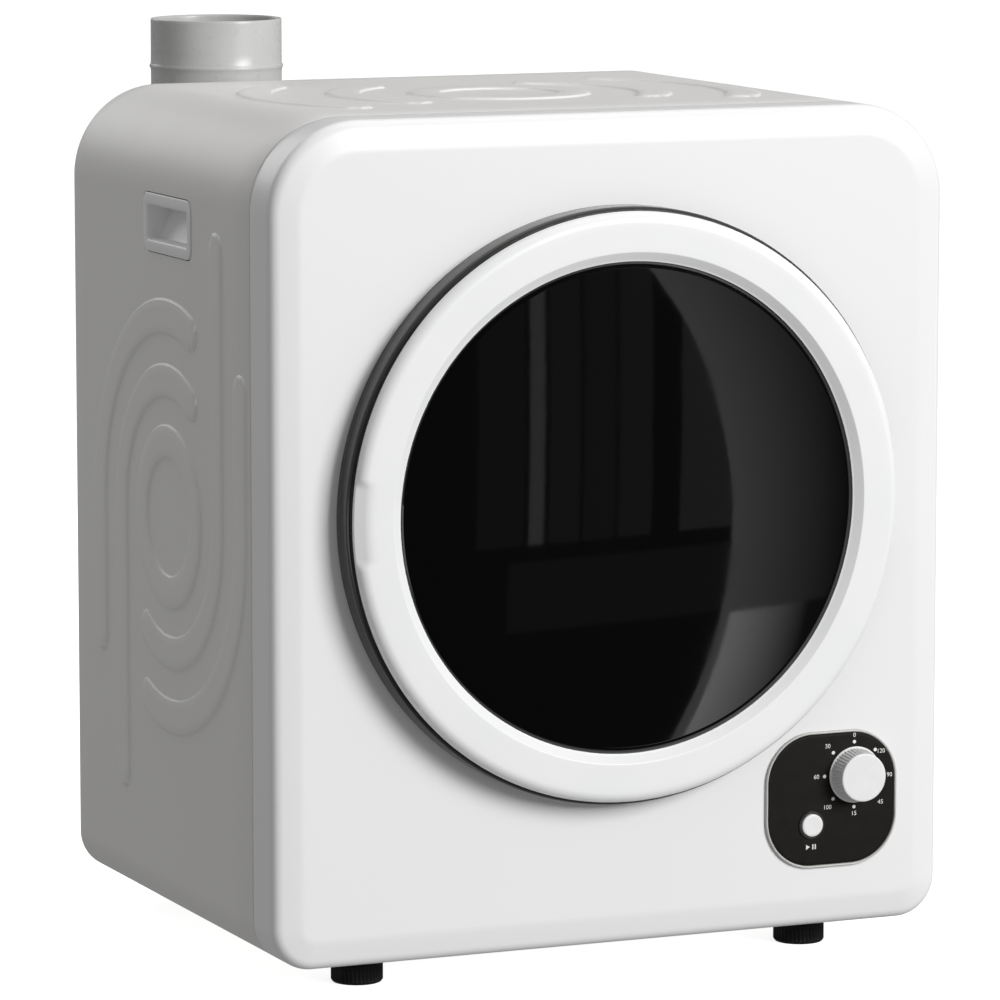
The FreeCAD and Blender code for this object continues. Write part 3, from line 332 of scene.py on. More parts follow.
# White knob and button ABS with a matt spark-eroded face.
knobWhite = newMaterial("mattWhiteAbs", "#efefef", 0.42, grain=(0.6, 0.02), mottle=("#e6e6e6", 12, 0.4),
                        roughVary=(5, 0.05))
# White screen-printing ink, slightly matt.
printWhite = newMaterial("whitePrint", "#e9e8e4", 0.5, grain=(0.4, 0.01))
# Light grey extruded PVC duct with a faint cloudiness.
ductPvc = newMaterial("lightGreyPvc", "#c2c2c1", 0.3, grain=(1.2, 0.008), mottle=("#bbbbba", 35, 0.5),
                      roughVary=(12, 0.06))
# Black glass-filled nylon of the feet: matt, grainy.
nylonBlack = newMaterial("blackNylon", "#0b0b0b", 0.62, grain=(0.8, 0.05), mottle=("#111111", 8, 0.6),
                         roughVary=(6, 0.1), extra={"Specular IOR Level": 0.25})
# Hot-dip galvanised sheet: spangle of about 12 mm in colour and roughness.
zincSheet = newMaterial("galvanisedSheet", "#a9acae", 0.38, 1.0, grain=(6, 0.01),
                        mottle=("#8d9194", 12, 1.0), roughVary=(12, 0.12))
# Brushed stainless of the drum: fine scratches run round it.
drumSteel = newMaterial("brushedStainless", "#c3c4c5", 0.28, 1.0, grain=(0.7, 0.012),
                        mottle=("#b0b2b4", 18, 0.6), roughVary=(3, 0.08), stretch=(1, 6, 1))
# Bright zinc-plated steel of screws, pins and springs.
platedSteel = newMaterial("zincPlatedSteel", "#b9bbbd", 0.3, 1.0, grain=(0.5, 0.01), roughVary=(2, 0.1))
# Mid-grey, black and pale moulded polypropylene of the inner parts: dull, lightly grained.
greyPp = newMaterial("greyPolypropylene", "#8b8c8d", 0.45, grain=(0.9, 0.03), mottle=("#7f8081", 25, 0.6),
                     roughVary=(8, 0.08))
blackPp = newMaterial("blackPolypropylene", "#1b1b1b", 0.42, grain=(0.9, 0.03), mottle=("#232323", 18, 0.6),
                      roughVary=(8, 0.08))
palePp = newMaterial("palePolypropylene", "#e3e3e1", 0.35, grain=(1.0, 0.02), mottle=("#d8d8d6", 20, 0.5),
                     roughVary=(9, 0.06))
# Pressed wool felt: fibres of about 1 mm with a soft sheen.
woolFelt = newMaterial("woolFelt", "#8c857a", 0.95, grain=(0.9, 0.4), mottle=("#77705f", 3, 0.8),
                       extra={"Sheen Weight": 0.4})
# Black EPDM rubber of the seal and belts: dull, dusty black.
epdm = newMaterial("epdmRubber", "#161616", 0.62, grain=(0.7, 0.04), mottle=("#1f1f1f", 10, 0.6),
                   roughVary=(5, 0.1))
# Die-cast aluminium, the varnish over the motor's laminations, and the heater's fired ceramic.
castAluminium = newMaterial("castAluminium", "#c4c6c8", 0.48, 1.0, grain=(1.0, 0.05), roughVary=(4, 0.12))
motorPaint = newMaterial("motorVarnish", "#26272a", 0.35, 0.3, grain=(1.2, 0.03),
                         mottle=("#34302a", 9, 0.6))
ceramic = newMaterial("heaterCeramic", "#9a7a5c", 0.7, grain=(1.5, 0.05), mottle=("#7d6048", 10, 0.7))

slotLooks = {"front_white": glossAbs, "cabinet_paint": enamel, "zinc": zincSheet, "collar_grey": collarAbs,
             "ring_white": ringAbs, "tinted_glass": smokedGlass, "grey_plastic": greyPp,
             "black_plastic": blackPp, "panel_black": fasciaBlack, "bezel_grey": bezelGrey,
             "knob_white": knobWhite, "felt": woolFelt, "rubber_black": epdm, "drum_steel": drumSteel,
             "lifter_plastic": palePp, "steel": platedSteel, "aluminium": castAluminium,
             "motor_paint": motorPaint, "heater_ceramic": ceramic, "pipe_grey": ductPvc,
             "foot_black": nylonBlack}
for row in record["subparts"]:
    holder = nodes[row["node"]]
    for holderSlot in holder.material_slots:
        holderSlot.material = slotLooks[row["material_slot"]]
print("materials ready")


# The cabinet's front outline, drawn inwards all round by an inset.
def cabinetLoop(inset):
    high = cabinet["top"] - cabinet["low"] - 2 * inset
    return roundedLoop(cabinet["width"] - 2 * inset, high, max(cabinet["lowRound"] - inset, 1),
                       max(cabinet["topRound"] - inset, 1), cabinet["loopPoints"])


# From the outline's own plane into the frame: u runs across, v up, depth rearwards.
def intoFrame(u, v, depth):
    return np.stack([u, frontY + depth, midZ + v], -1)


# The door mouth's circle matched point for point to the outline, about the door's own height.
def doorCircle(loop, radius):
    shift = np.array([0, cabinet["doorZ"] - midZ])
    return circleLike(loop - shift, radius) + shift


# The front moulding: how far its rim reaches back, the tight round of its edge, how far the band inside
# the edge lies below the flat face, where that face starts, and the door's mouth with its lip.
front = {"deep": 44, "edgeRound": 21, "tightRound": 9, "crown": 3.8, "faceFrom": 35, "mouth": 203,
         "lip": 202.6, "lipDeep": 14}


# The moulded front: an edge that turns over tightly, a slightly crowned band, then a flat face that runs in
# to the round mouth. Blend of outline and circle: outline * (1 - t) + circle * t.
def buildFront():
    deep = front["deep"]
    rim = [(3.0, deep - 20), (3.0, deep), (1.2, deep), (0.35, deep - 0.35), (0, deep - 1.2), (0, 34), (0, 26)]
    shoulder = roundPath([(0, 24), (0, front["crown"], front["tightRound"]), (front["edgeRound"], 0, 30),
                          (front["faceFrom"], 0)], 10)
    loops = [(cabinetLoop(inset), depth) for inset, depth in [*rim, *shoulder]]
    flat = cabinetLoop(front["faceFrom"])
    mouth = doorCircle(flat, front["mouth"])
    loops += [(flat * (1 - t) + mouth * t, 0.0) for t in np.linspace(0, 1, 15)[1:]]
    loops += [(doorCircle(flat, front["lip"]), depth) for depth in (0.6, front["lipDeep"])]
    points, faces = loopSkin(loops, intoFrame)
    makeMesh("frontMoulding", points, [f[::-1] for f in faces], "cabinet", glossAbs, True, ("front_panel",))


# The steel wrap: the seam behind the moulding, its inset from the moulding's outline, and how far the
# sheet turns in at both ends.
wrap = {"seamGap": 0.9, "inset": 0.05, "frontTurn": 14, "rearTurn": 13}
# Side grips: place, plate, the gap round the plate in the sheet, the margin of the flat patch round the
# hole, and the cup with its leaning floor. The plate stands shift behind the patch's middle.
grip = {"y": 211, "z": 540.5, "shift": 0.5, "plateWide": 98.4, "plateHigh": 43.2, "plateRound": 8,
        "thick": 0.9, "gap": 0.7, "margin": 4, "wide": 84, "high": 25.6, "round": 2.6, "deep": 20,
        "slant": 12, "points": 160}


# Faces of a side wall inside a rectangle are taken out, and a flat patch with a rounded hole goes in:
# its loops run from the rectangle to the hole's edge and then inwards through the sheet.
def cutGripHole(points, faces, direction):
    count, gap, close = grip["points"], grip["gap"], 0.06
    face = direction * (cabinet["width"] / 2 - wrap["inset"])
    flat = points[np.abs(points[:, 0] - face) < close]
    reachY = grip["plateWide"] / 2 + grip["margin"]
    reachZ = grip["plateHigh"] / 2 + gap + 0.1
    near, far = (frontY + grip["y"] + way * reachY for way in (-1, 1))
    low = flat[flat[:, 2] < grip["z"] - reachZ, 2].max()
    high = flat[flat[:, 2] > grip["z"] + reachZ, 2].min()
    x, y, z = points.T
    inside = (np.abs(x - face) < close) & (y > near - 0.01) & (y < far + 0.01)
    inside &= (z > low - 0.01) & (z < high + 0.01)
    kept = [f for f in faces if not inside[list(f)].all()]
    outer = roundedLoop(far - near, high - low, 0.01, 0.01, count)
    outer = outer + np.array([(near + far) / 2, (low + high) / 2])
    hole = roundedLoop(grip["plateWide"] + 2 * gap, grip["plateHigh"] + 2 * gap, grip["plateRound"],
                       grip["plateRound"], count)
    hole = hole + np.array([frontY + grip["y"] + grip["shift"], grip["z"]])
    rows = [(outer, 0), (outer * 0.5 + hole * 0.5, 0), (hole, 0), (hole, -1)]
    spots = np.concatenate([np.stack([np.full(count, face + direction * depth), loop[:, 0], loop[:, 1]], -1)
                            for loop, depth in rows])
    patch = [list(map(int, f)) for f in gridFaces(len(rows), count, wrapColumns=True)]
    sides, lip = patch[:2 * count], patch[2 * count:]
    turnToward(spots, sides, (direction, 0, 0))
    if sides[0] != patch[0]:
        lip = [f[::-1] for f in lip]
    return joinGrids([(points, kept), (spots, sides + lip)])


# The same outline carried straight back, turned in at both ends, with the two grip holes.
def buildWrap():
    near, far, inset = front["deep"] + wrap["seamGap"], cabinet["depth"], wrap["inset"]
    edges = [grip["y"] + way * (grip["plateWide"] / 2 + grip["margin"]) for way in (-1, 1)]
    rows = [(wrap["frontTurn"], near + 1.2), (2.2, near + 1.2), (0.9, near + 0.1), (0.3, near + 0.45)]
    rows += [(inset, depth) for depth in (near + 1.2, near + 40, edges[0] - 30, edges[0], edges[1],
                                          edges[1] + 50, far - 20, far - 1.2)]
    rows += [(0.4, far - 0.35), (1.2, far), (wrap["rearTurn"], far)]
    points, faces = loopSkin([(cabinetLoop(turn), depth) for turn, depth in rows], intoFrame)
    faces = [f[::-1] for f in faces]
    for direction in (-1, 1):
        points, faces = cutGripHole(points, faces, direction)
    makeMesh("steelWrap", points, faces, "cabinet", enamel, True, ("cabinet_shell",))


# Places across a band from -1 to 1: close together on both slopes, sparse on the flat between them.
def bandPlaces(slopeShare, flatSteps):
    ramp = slopeShare * np.linspace(0, 1, 6)
    flat = np.linspace(slopeShare - 1, 1 - slopeShare, flatSteps + 1)[1:-1]
    return np.concatenate([ramp - 1, flat, 1 - ramp[::-1]])


# A raised band along a path: height rises over a slope from the nearest edge, measured to the band's
# own outline, so both the sides and the half-round ends ramp alike.
def ribbon(path, halfWide, rise, slope):
    step = np.linalg.norm(np.diff(path, axis=0), axis=1)
    along = np.concatenate([[0], np.cumsum(step)])
    total = along[-1]
    near = halfWide * (1 - np.cos(np.linspace(0, math.pi / 2, 12)))
    inner = np.linspace(halfWide, total + halfWide, max(24, int(total / 4)))[1:-1]
    stations = np.concatenate([near, inner, total + 2 * halfWide - near[::-1]]) - halfWide
    clipped = np.clip(stations, 0, total)
    over = stations - clipped
    centre = np.stack([np.interp(clipped, along, path[:, i]) for i in (0, 1)], 1)
    fine = np.gradient(path, along, axis=0)
    tangent = np.stack([np.interp(clipped, along, fine[:, i]) for i in (0, 1)], 1)
    tangent /= np.linalg.norm(tangent, axis=1)[:, None]
    normal = np.stack([-tangent[:, 1], tangent[:, 0]], 1)
    centre = centre + tangent * over[:, None]
    limit = np.sqrt(np.maximum(halfWide ** 2 - over ** 2, 0))[:, None]
    offset = np.clip(bandPlaces(slope / halfWide, 4)[None, :] * halfWide, -limit, limit)
    away = halfWide - np.sqrt(over[:, None] ** 2 + offset ** 2)
    flat = centre[:, None, :] + normal[:, None, :] * offset[..., None]
    return flat.reshape(-1, 2), (rise * smoothStep(away / slope)).ravel(), gridFaces(*offset.shape)


# A raised ring: the same ramped section carried round a circle.
def raisedRing(radius, halfWide, rise, slope):
    angle = np.linspace(0, tau, 180, endpoint=False)
    offset = bandPlaces(slope / halfWide, 3) * halfWide
    height = rise * smoothStep((halfWide - np.abs(offset)) / slope)
    reach = radius + offset
    flat = np.stack([np.cos(angle)[:, None] * reach, np.sin(angle)[:, None] * reach], -1)
    return flat.reshape(-1, 2), np.tile(height, len(angle)), gridFaces(len(angle), len(offset), True)


# Pressed figures: ring (radius, half width), hooks (radius, half width, first degree, leg), arcs (radius,
# half width, first and last degree), the bands' height and slope, and the figures' middle.
figure = {"ring": (56, 13), "innerHook": (101, 13, 119, 206), "outerHook": (148.5, 13.5, 109, 108),
          "innerArc": (116.5, 13.5, -35, 55), "outerArc": (182.5, 13.5, -32, 41.5), "rise": 1.5, "slope": 2.0,
          "y": 213, "sideZ": 325, "sunk": 0.02}


# An arc between two directions in degrees.
def arcPath(radius, first, last):
    angle = np.radians(np.linspace(first, last, 60))
    return np.stack([radius * np.cos(angle), radius * np.sin(angle)], 1)


# From the free end over the top to the rear side, then straight down by the leg's length.
def hookPath(radius, first, leg):
    down = np.stack([np.full(30, radius), -np.linspace(0, leg, 31)[1:]], 1)
    return np.concatenate([arcPath(radius, first, 0), down])


# The ring and every band as one mesh on the wall that looks along a direction: a side wall or the top.
def figureMesh(name, bands, direction):
    made = [raisedRing(*figure["ring"], figure["rise"], figure["slope"])]
    made += [ribbon(path, half, figure["rise"], figure["slope"]) for path, half in bands]
    parts = []
    for flat, height, grid in made:
        out = height - figure["sunk"] - wrap["inset"]
        if direction[0]:
            place = [direction[0] * (cabinet["width"] / 2 + out), frontY + figure["y"] + flat[:, 0],
                     figure["sideZ"] + flat[:, 1]]
        else:
            place = [flat[:, 0], frontY + figure["y"] + flat[:, 1], cabinet["top"] + out]
        parts.append((np.stack(place, 1), grid))
    points, faces = joinGrids(parts)
    turnToward(points, faces, direction)
    makeMesh(name, points, faces, "cabinet", enamel)


# Raised figures pressed into both sides and the top; the side figure is the same half round.
def buildFigures():
    hooks, arcs = [], []
    for key in ("innerHook", "outerHook"):
        radius, half, first, leg = figure[key]
        path = hookPath(radius, first, leg)
        hooks += [(path, half), (-path, half)]
    for key in ("innerArc", "outerArc"):
        radius, half, first, last = figure[key]
        path = arcPath(radius, first, last)
        arcs += [(path, half), (path[::-1] * [-1, 1], half)]
    figureMesh("figureLeft", hooks, (-1, 0, 0))
    figureMesh("figureRight", hooks, (1, 0, 0))
    figureMesh("figureTop", arcs, (0, 0, 1))


# A thin plate with a rolled lip round a pocket; loops run from the plate's outer foot over its face and
# down into the pocket, whose floor leans and is deepest at its upper edge.
def buildGrip(name, direction, node):
    thick, count = grip["thick"], grip["points"]

    def place(u, v, depth):
        x = direction * (cabinet["width"] / 2 + depth)
        return np.stack([x, frontY + grip["y"] + grip["shift"] + u, grip["z"] + v], -1)

    def plate(less, radius):
        return roundedLoop(grip["plateWide"] - less, grip["plateHigh"] - less, radius, radius, count)

    def mouth(grow):
        return roundedLoop(grip["wide"] + grow, grip["high"] + grow, grip["round"], grip["round"], count)

    def leaning(loop):
        return loop, -grip["deep"] + grip["slant"] * (0.5 - loop[:, 1] / grip["high"])

    loops = [(plate(0, grip["plateRound"]), depth) for depth in (-1.5, thick - 0.5)]
    loops += [(plate(0.3, 7.8), thick - 0.15), (plate(1.0, 7.5), thick)]
    loops += [(mouth(6), thick), (mouth(2.2), thick - 0.1), (mouth(1.0), thick - 0.5),
              (mouth(0.3), thick - 1.2), (mouth(0), thick - 2.2), (mouth(-1), -8), leaning(mouth(-2)),
              leaning(mouth(-8))]
    points, faces = loopSkin(loops, place, fillLast=True)
    makeMesh(name, points, faceOut(points, faces), "cabinet", glossAbs, True, (node,))


buildFront()
buildWrap()
buildFigures()
print("cabinet ready")
buildGrip("gripLeft", -1, "side_handle_left")
buildGrip("gripRight", 1, "side_handle_right")
print("grips ready")


# Sections of the door's turned pieces are (radius, depth, round) about this centre.
doorCentre = (0, frontY, cabinet["doorZ"])
# The collar: a channel open to the rear, whose outer wall is pulled in beside the hinge.
collar = {"section": [(217, 0.4), (217, -19, 3.2), (198, -19, 2.2), (198, 30), (200.5, 30), (200.5, -16),
                      (213.5, -16), (213.5, 0.4)],
          "reach": 215, "notchHalf": 36, "notchRadius": 202.5}
# The white ring: bevelled down to the glass, with a shaved facet for the fingers opposite the hinge.
ring = {"section": [(178.2, -21.2, 0.4), (214, -21.2, 1.0), (214, -30, 8), (185.2, -30, 1.2),
                    (179.4, -25.6, 0.8), (178.2, -25, 0.3)],
        "outer": 214, "front": -30, "facetHalf": 31, "facetWide": 9.6, "facetSlope": 0.62, "facetBlend": 1.6}
# The domed window: its rim's radius, the dome's rise, and the middle of both faces.
window = {"rim": 178, "rise": 4.5, "outside": -29.5, "inside": -25.7}
innerFrame = {"section": [(172, -21.2), (193, -21.2, 0.8), (193, 1, 2), (184, 1, 1), (178, -12, 2),
                          (172, -12)]}
# The pale bowl behind the window that fills the drum's mouth.
liner = {"section": [(0, 50), (148, 50, 6), (162, 1, 4), (190, 1, 0.8), (190, 3.5, 0.8), (164, 3.5, 5),
                     (150, 52.5, 7), (0, 52.5)]}
lipSeal = {"section": [(193, -18), (196.4, -16.5, 0.6), (194.6, -14), (196.4, -11.5, 0.6), (193, -9)]}


# Near the hinge the channel's outer wall is pulled in to the notch radius.
def collarShape(radius, depth, angle):
    height = collar["reach"] * np.sin(angle)
    near = (np.cos(angle) > 0) & (np.abs(height) < collar["notchHalf"])
    return np.where(near, np.minimum(radius, collar["notchRadius"]), radius), depth


# At the grip, opposite the hinge, the rounded outer edge is shaved to a slanting flat: there the depth is
# at least front + slope * (radius - start).
def ringShape(radius, depth, angle):
    height = ring["outer"] * np.sin(angle)
    share = smoothStep((ring["facetHalf"] - np.abs(height)) / ring["facetBlend"])
    amount = np.where(np.cos(angle) < 0, share, 0)
    start = ring["outer"] - ring["facetWide"]
    cutDepth = ring["front"] + (radius - start) * ring["facetSlope"]
    shaved = np.where(radius > start, np.maximum(depth, cutDepth), depth)
    return radius, depth * (1 - amount) + shaved * amount


# The window is a thin slice of a sphere: depth = middle + R - sqrt(R * R - r * r), and R follows from the
# rim's radius and the rise.
def buildWindow():
    sphere = (window["rim"] ** 2 + window["rise"] ** 2) / (2 * window["rise"])
    reach = np.linspace(0, window["rim"], 40)
    sag = sphere - np.sqrt(sphere ** 2 - reach ** 2)
    outside = list(zip(reach, window["outside"] + sag))
    inside = list(zip(reach, window["inside"] + sag))[::-1]
    lathe("smokedWindow", outside + inside, doorCentre, "door", smokedGlass, 240, closed=False,
          stands=("window_glass",))


lathe("doorCollar", collar["section"], doorCentre, "cabinet", collarAbs, 480, shape=collarShape,
      stands=("door_collar",), longest=8)
lathe("doorRing", ring["section"], doorCentre, "door", ringAbs, 480, shape=ringShape, roundSteps=10,
      stands=("door_ring",), longest=5)
buildWindow()
lathe("doorInnerFrame", innerFrame["section"], doorCentre, "door", blackPp, 240, stands=("door_frame",))
lathe("doorLiner", liner["section"], doorCentre, "door", greyPp, 240, closed=False, stands=("door_liner",))
lathe("doorLipSeal", lipSeal["section"], doorCentre, "door", epdm, 240, stands=("door_gasket",))
print("door ready")


# The control panel: outline, the bezel's and plate's sections as (inset, depth), and the prints' depth.
fascia = {"x": 174.5, "z": 118.3, "wide": 107.4, "high": 101.8, "round": 37.5, "ink": -1.87,
          "bezel": [(0, 0.2), (0, -1.4), (0.2, -2.1), (0.6, -2.45), (1.0, -2.5), (1.4, -2.35), (1.7, -1.9),
                    (1.9, -1.2), (1.9, 0.2)],
          "plate": [(1.95, 3.0), (1.95, -1.2), (2.4, -1.7), (4, -1.8), (20, -1.8)]}
# The dial's prints: minutes is angle: (word, distance beyond the dots, lift).
dial = {"x": 193, "z": 135.5, "dotRing": 24.4, "dotRadius": 1.35, "dotDepth": -1.86, "textSize": 4.6,
        "minutes": {90: ("0", 4.4, 0), 45: ("120", 6.6, -6.4), 0: ("90", 4.8, -2.4), 315: ("45", 6.6, 0),
                    270: ("15", 4.4, 0), 225: ("100", 6.6, -1.0), 180: ("60", 6.6, 0), 135: ("30", 6.6, 0)}}
knob = {"section": [(0, -12.6), (3, -12.6), (3, -2.6), (21, -2.6, 0.4), (21, -3.7, 0.4), (20.2, -4.1, 0.3),
                    (17.8, -18.5, 1.2), (0, -18.5)],
        "ribs": 48, "ribDeep": 0.85, "ribInside": 16.6, "ribStart": -4.0, "ribEnd": -17.6}
button = {"x": 158, "z": 100, "markDrop": 16.5, "markHalf": 1.9,
          "ring": [(8.75, -1.6), (10.4, -1.6, 0.3), (10.2, -3.2, 0.6), (8.75, -3.2, 0.5)],
          "section": [(0, 6.2), (2.5, 6.2), (2.5, 4), (8.4, 4), (8.4, -4.5, 0.9), (6.6, -4.75, 2), (0, -4.4)]}


# From the panel's own plane into the frame.
def fasciaPlace(u, v, depth):
    return np.stack([fascia["x"] + u, frontY + depth, fascia["z"] + v], -1)


# The panel's rounded outline, drawn inwards by an inset.
def fasciaLoop(inset):
    return roundedLoop(fascia["wide"] - 2 * inset, fascia["high"] - 2 * inset, fascia["round"] - inset,
                       fascia["round"] - inset, 320)


# A raised bezel with rounded shoulders and the plate inside it, both as skins over shrinking outlines.
def buildFascia():
    points, faces = loopSkin([(fasciaLoop(inset), depth) for inset, depth in fascia["bezel"]], fasciaPlace,
                             closedRows=True)
    makeMesh("fasciaBezel", points, faceOut(points, faces), "cabinet", bezelGrey, True, ("control_bezel",))
    points, faces = loopSkin([(fasciaLoop(inset), depth) for inset, depth in fascia["plate"]], fasciaPlace,
                             fillLast=True, fillFirst=True)
    makeMesh("fasciaPlate", points, faceOut(points, faces), "cabinet", fasciaBlack, False,
             ("control_plate",))


# Fine upright ribs: the side's radius swings with the cosine of the rib count times the angle.
def knobShape(radius, depth, angle):
    onSide = smoothStep((radius - knob["ribInside"]) / 0.8) * smoothStep((knob["ribStart"] - depth) / 0.6)
    onSide = onSide * smoothStep((depth - knob["ribEnd"]) / 0.8)
    wave = 0.5 + 0.5 * np.cos(knob["ribs"] * angle)
    return radius - knob["ribDeep"] * onSide * wave, depth


# Printed dots every eighth of a turn round the dial, each a flat disc of twenty corners.
def buildMarks():
    around = np.linspace(0, tau, 20, endpoint=False)
    parts = []
    for turn in np.radians(np.arange(0, 360, 45)):
        x = dial["x"] + dial["dotRing"] * math.cos(turn) + dial["dotRadius"] * np.cos(around)
        z = dial["z"] + dial["dotRing"] * math.sin(turn) + dial["dotRadius"] * np.sin(around)
        parts.append((np.stack([x, np.full(20, frontY + dial["dotDepth"]), z], 1), [list(range(20))]))
    points, faces = joinGrids(parts)
    makeMesh("dialDots", points, faces, "cabinet", printWhite, False)


# Small printed minutes beside the dots; text is turned to a mesh before it is placed.
def buildNumbers():
    for angle, (word, beyond, lift) in dial["minutes"].items():
        curve = bpy.data.curves.new("minutes" + word, "FONT")
        curve.body = word
        curve.size = dial["textSize"] * mm
        curve.align_x = "CENTER"
        curve.align_y = "CENTER"
        holder = bpy.data.objects.new("minutes" + word, curve)
        bpy.context.scene.collection.objects.link(holder)
        mesh = bpy.data.meshes.new_from_object(holder)
        bpy.data.objects.remove(holder)
        turn = math.radians(angle)
        away = dial["dotRing"] + beyond
        flat = np.empty(len(mesh.vertices) * 3)
        mesh.vertices.foreach_get("co", flat)
        flat = flat.reshape(-1, 3) / mm
        placed = np.stack([dial["x"] + away * math.cos(turn) + flat[:, 0],
                           np.full(len(flat), frontY + fascia["ink"]),
                           dial["z"] + away * math.sin(turn) * 1.02 + lift + flat[:, 1]], 1)
        faces = [list(p.vertices) for p in mesh.polygons]
        turnToward(placed, faces, (0, -1, 0))
        makeMesh("minutes" + word, placed, faces, "cabinet", printWhite, False)


# A play triangle and two bars printed under the start button.
def buildStartMark():
    x, y, z = button["x"], frontY + fascia["ink"], button["z"] - button["markDrop"]
    low, high = z - button["markHalf"], z + button["markHalf"]
    parts = [([(x - 4.2, y, low), (x - 1.0, y, z), (x - 4.2, y, high)], [[0, 1, 2]])]
    for left, right in ((x + 0.9, x + 1.9), (x + 2.9, x + 3.9)):
        parts.append(([(left, y, low), (right, y, low), (right, y, high), (left, y, high)], [[0, 1, 2, 3]]))
    points, faces = joinGrids(parts)
    turnToward(points, faces, (0, -1, 0))
    makeMesh("startMark", points, faces, "cabinet", printWhite, False)


buildFascia()
buildMarks()
buildNumbers()
buildStartMark()
buttonCentre = (button["x"], frontY, button["z"])
lathe("timerKnob", knob["section"], (dial["x"], frontY, dial["z"]), "dial", knobWhite, 480, closed=False,
      shape=knobShape, stands=("timer_knob",), longest=0.8)
lathe("buttonRing", button["ring"], buttonCentre, "cabinet", collarAbs, 96, stands=("button_ring",))
lathe("startButton", button["section"], buttonCentre, "button", knobWhite, 96, closed=False,
      stands=("start_button",))
print("controls ready")


# The screw feet: places, the notches round the rim, and the moulding's section from the floor up.
foot = {"x": 178.5, "front": 60, "rear": 358, "ribs": 40, "ribDeep": 1.0, "ribInside": 17.4,
        "section": [(0, 0), (17.6, 0, 0.8), (19, 1.8, 0.8), (19, 12.8, 0.8), (17.4, 14.5, 0.8), (11, 14.5),
                    (11, 22.9), (5, 22.9), (5, 50), (0, 50)]}


# Notches round the rim: radius - depth * a wave of the notch count, between the rim's two edges.
def footShape(radius, depth, angle):
    onRim = smoothStep((radius - foot["ribInside"]) / 0.8) * smoothStep((depth - 1.8) / 0.8)
    onRim = onRim * smoothStep((12.7 - depth) / 0.8)
    wave = smoothStep(0.5 + 0.9 * np.cos(foot["ribs"] * angle))
    return radius - foot["ribDeep"] * onRim * wave, depth


for node, side, end, body in (("foot_front_left", -1, "front", "foot_fl"),
                              ("foot_front_right", 1, "front", "foot_fr"),
                              ("foot_rear_left", -1, "rear", "foot_rl"),
                              ("foot_rear_right", 1, "rear", "foot_rr")):
    lathe(node + "_moulding", foot["section"], (side * foot["x"], frontY + foot[end], 0), body, nylonBlack,
          240, closed=False, along="z", shape=footShape, stands=(node,), longest=1.4)


# The exhaust pipe: axis, radii, bend, the small bead round it, and the mouth's lip as (drop, radius).
duct = {"x": -125, "y": 480, "z": 540, "outer": 51, "inner": 49.6, "top": 675.5, "start": 421.6, "bend": 51.5,
        "beadZ": 638.5, "beadHigh": 1.3, "beadWide": 1.6, "around": 144,
        "riseZ": (602, 612, 622, 632, 636, 637, 638.5, 640, 641, 650, 662, 673),
        "lip": ((0.8, 51.0), (0.2, 50.7), (0, 50.2), (0.2, 49.8))}


# A round section carried from the wall, round a tight quarter bend, and straight up; then back down
# inside it. Centre line: (y, z) runs level, along a quarter circle, then upright. The bead is a bell curve.
def buildDuct():
    bend, upright = duct["bend"], math.pi / 2
    line = [(duct["start"], duct["z"], 0.0), (duct["y"] - bend, duct["z"], 0.0)]
    line += [(duct["y"] - bend + bend * math.sin(a), duct["z"] + bend - bend * math.cos(a), a)
             for a in np.linspace(0, upright, 25)[1:]]
    bead = [0.0] * len(line)
    line += [(duct["y"], z, upright) for z in duct["riseZ"]]
    bead += [duct["beadHigh"] * math.exp(-((z - duct["beadZ"]) / duct["beadWide"]) ** 2)
             for z in duct["riseZ"]]
    stations = [(y, z, tilt, duct["outer"] + more) for (y, z, tilt), more in zip(line, bead)]
    stations += [(duct["y"], duct["top"] - drop, upright, radius) for drop, radius in duct["lip"]]
    stations += [(y, z, tilt, duct["inner"]) for y, z, tilt in line[::-1]]
    angle = np.linspace(0, tau, duct["around"], endpoint=False)[None, :]
    midY, midHigh, tilt, radius = (column[:, None] for column in np.array(stations).T)
    x = duct["x"] + radius * np.cos(angle)
    up = radius * np.sin(angle)
    y = frontY + midY - up * np.sin(tilt)
    z = midHigh + up * np.cos(tilt)
    points = np.stack([x, y, z], -1).reshape(-1, 3)
    faces = gridFaces(len(stations), duct["around"], True, True)
    makeMesh("exhaustPipe", points, faceOut(points, faces), "outlet", ductPvc, True, ("exhaust_elbow",))


buildDuct()
print("feet and duct ready")


# How much the paper glows, the world's light, and the paper's flat radius, bend and height.
studio = {"paperGlow": 0.8, "world": 0.27, "radius": 9000, "bend": 1500, "high": 8000}


# A pale paper floor and, far out, a round wall that it bends up into. Both glow a little, to stay paper
# white, and are hidden from bounced and mirrored rays, so that the glow doesn't light the cabinet.
def buildStage():
    paper = newMaterial("paleStudioPaper", "#f4f4f4", 0.9, grain=(3, 0.02),
                        extra={"Emission Color": (1, 1, 1, 1), "Emission Strength": studio["paperGlow"]})
    turns = np.radians(np.arange(0, 360, 3))
    tilt = np.linspace(0, math.pi / 2, 12)
    reach = np.append(studio["radius"] + studio["bend"] * np.sin(tilt), studio["radius"] + studio["bend"])
    high = np.append(studio["bend"] - studio["bend"] * np.cos(tilt), studio["high"])
    rows = np.stack([np.outer(reach, np.cos(turns)), np.outer(reach, np.sin(turns)),
                     np.repeat(high[:, None], len(turns), 1)], -1)
    floor = makeMesh("studioFloor", rows[0], [list(range(len(turns)))], None, paper, False)
    faces = gridFaces(len(high), len(turns), wrapColumns=True)
    wall = makeMesh("studioWall", rows.reshape(-1, 3), faces, None, paper)
    wall.visible_shadow = False
    for surface in (floor, wall):
        surface.visible_diffuse = False
        surface.visible_glossy = False


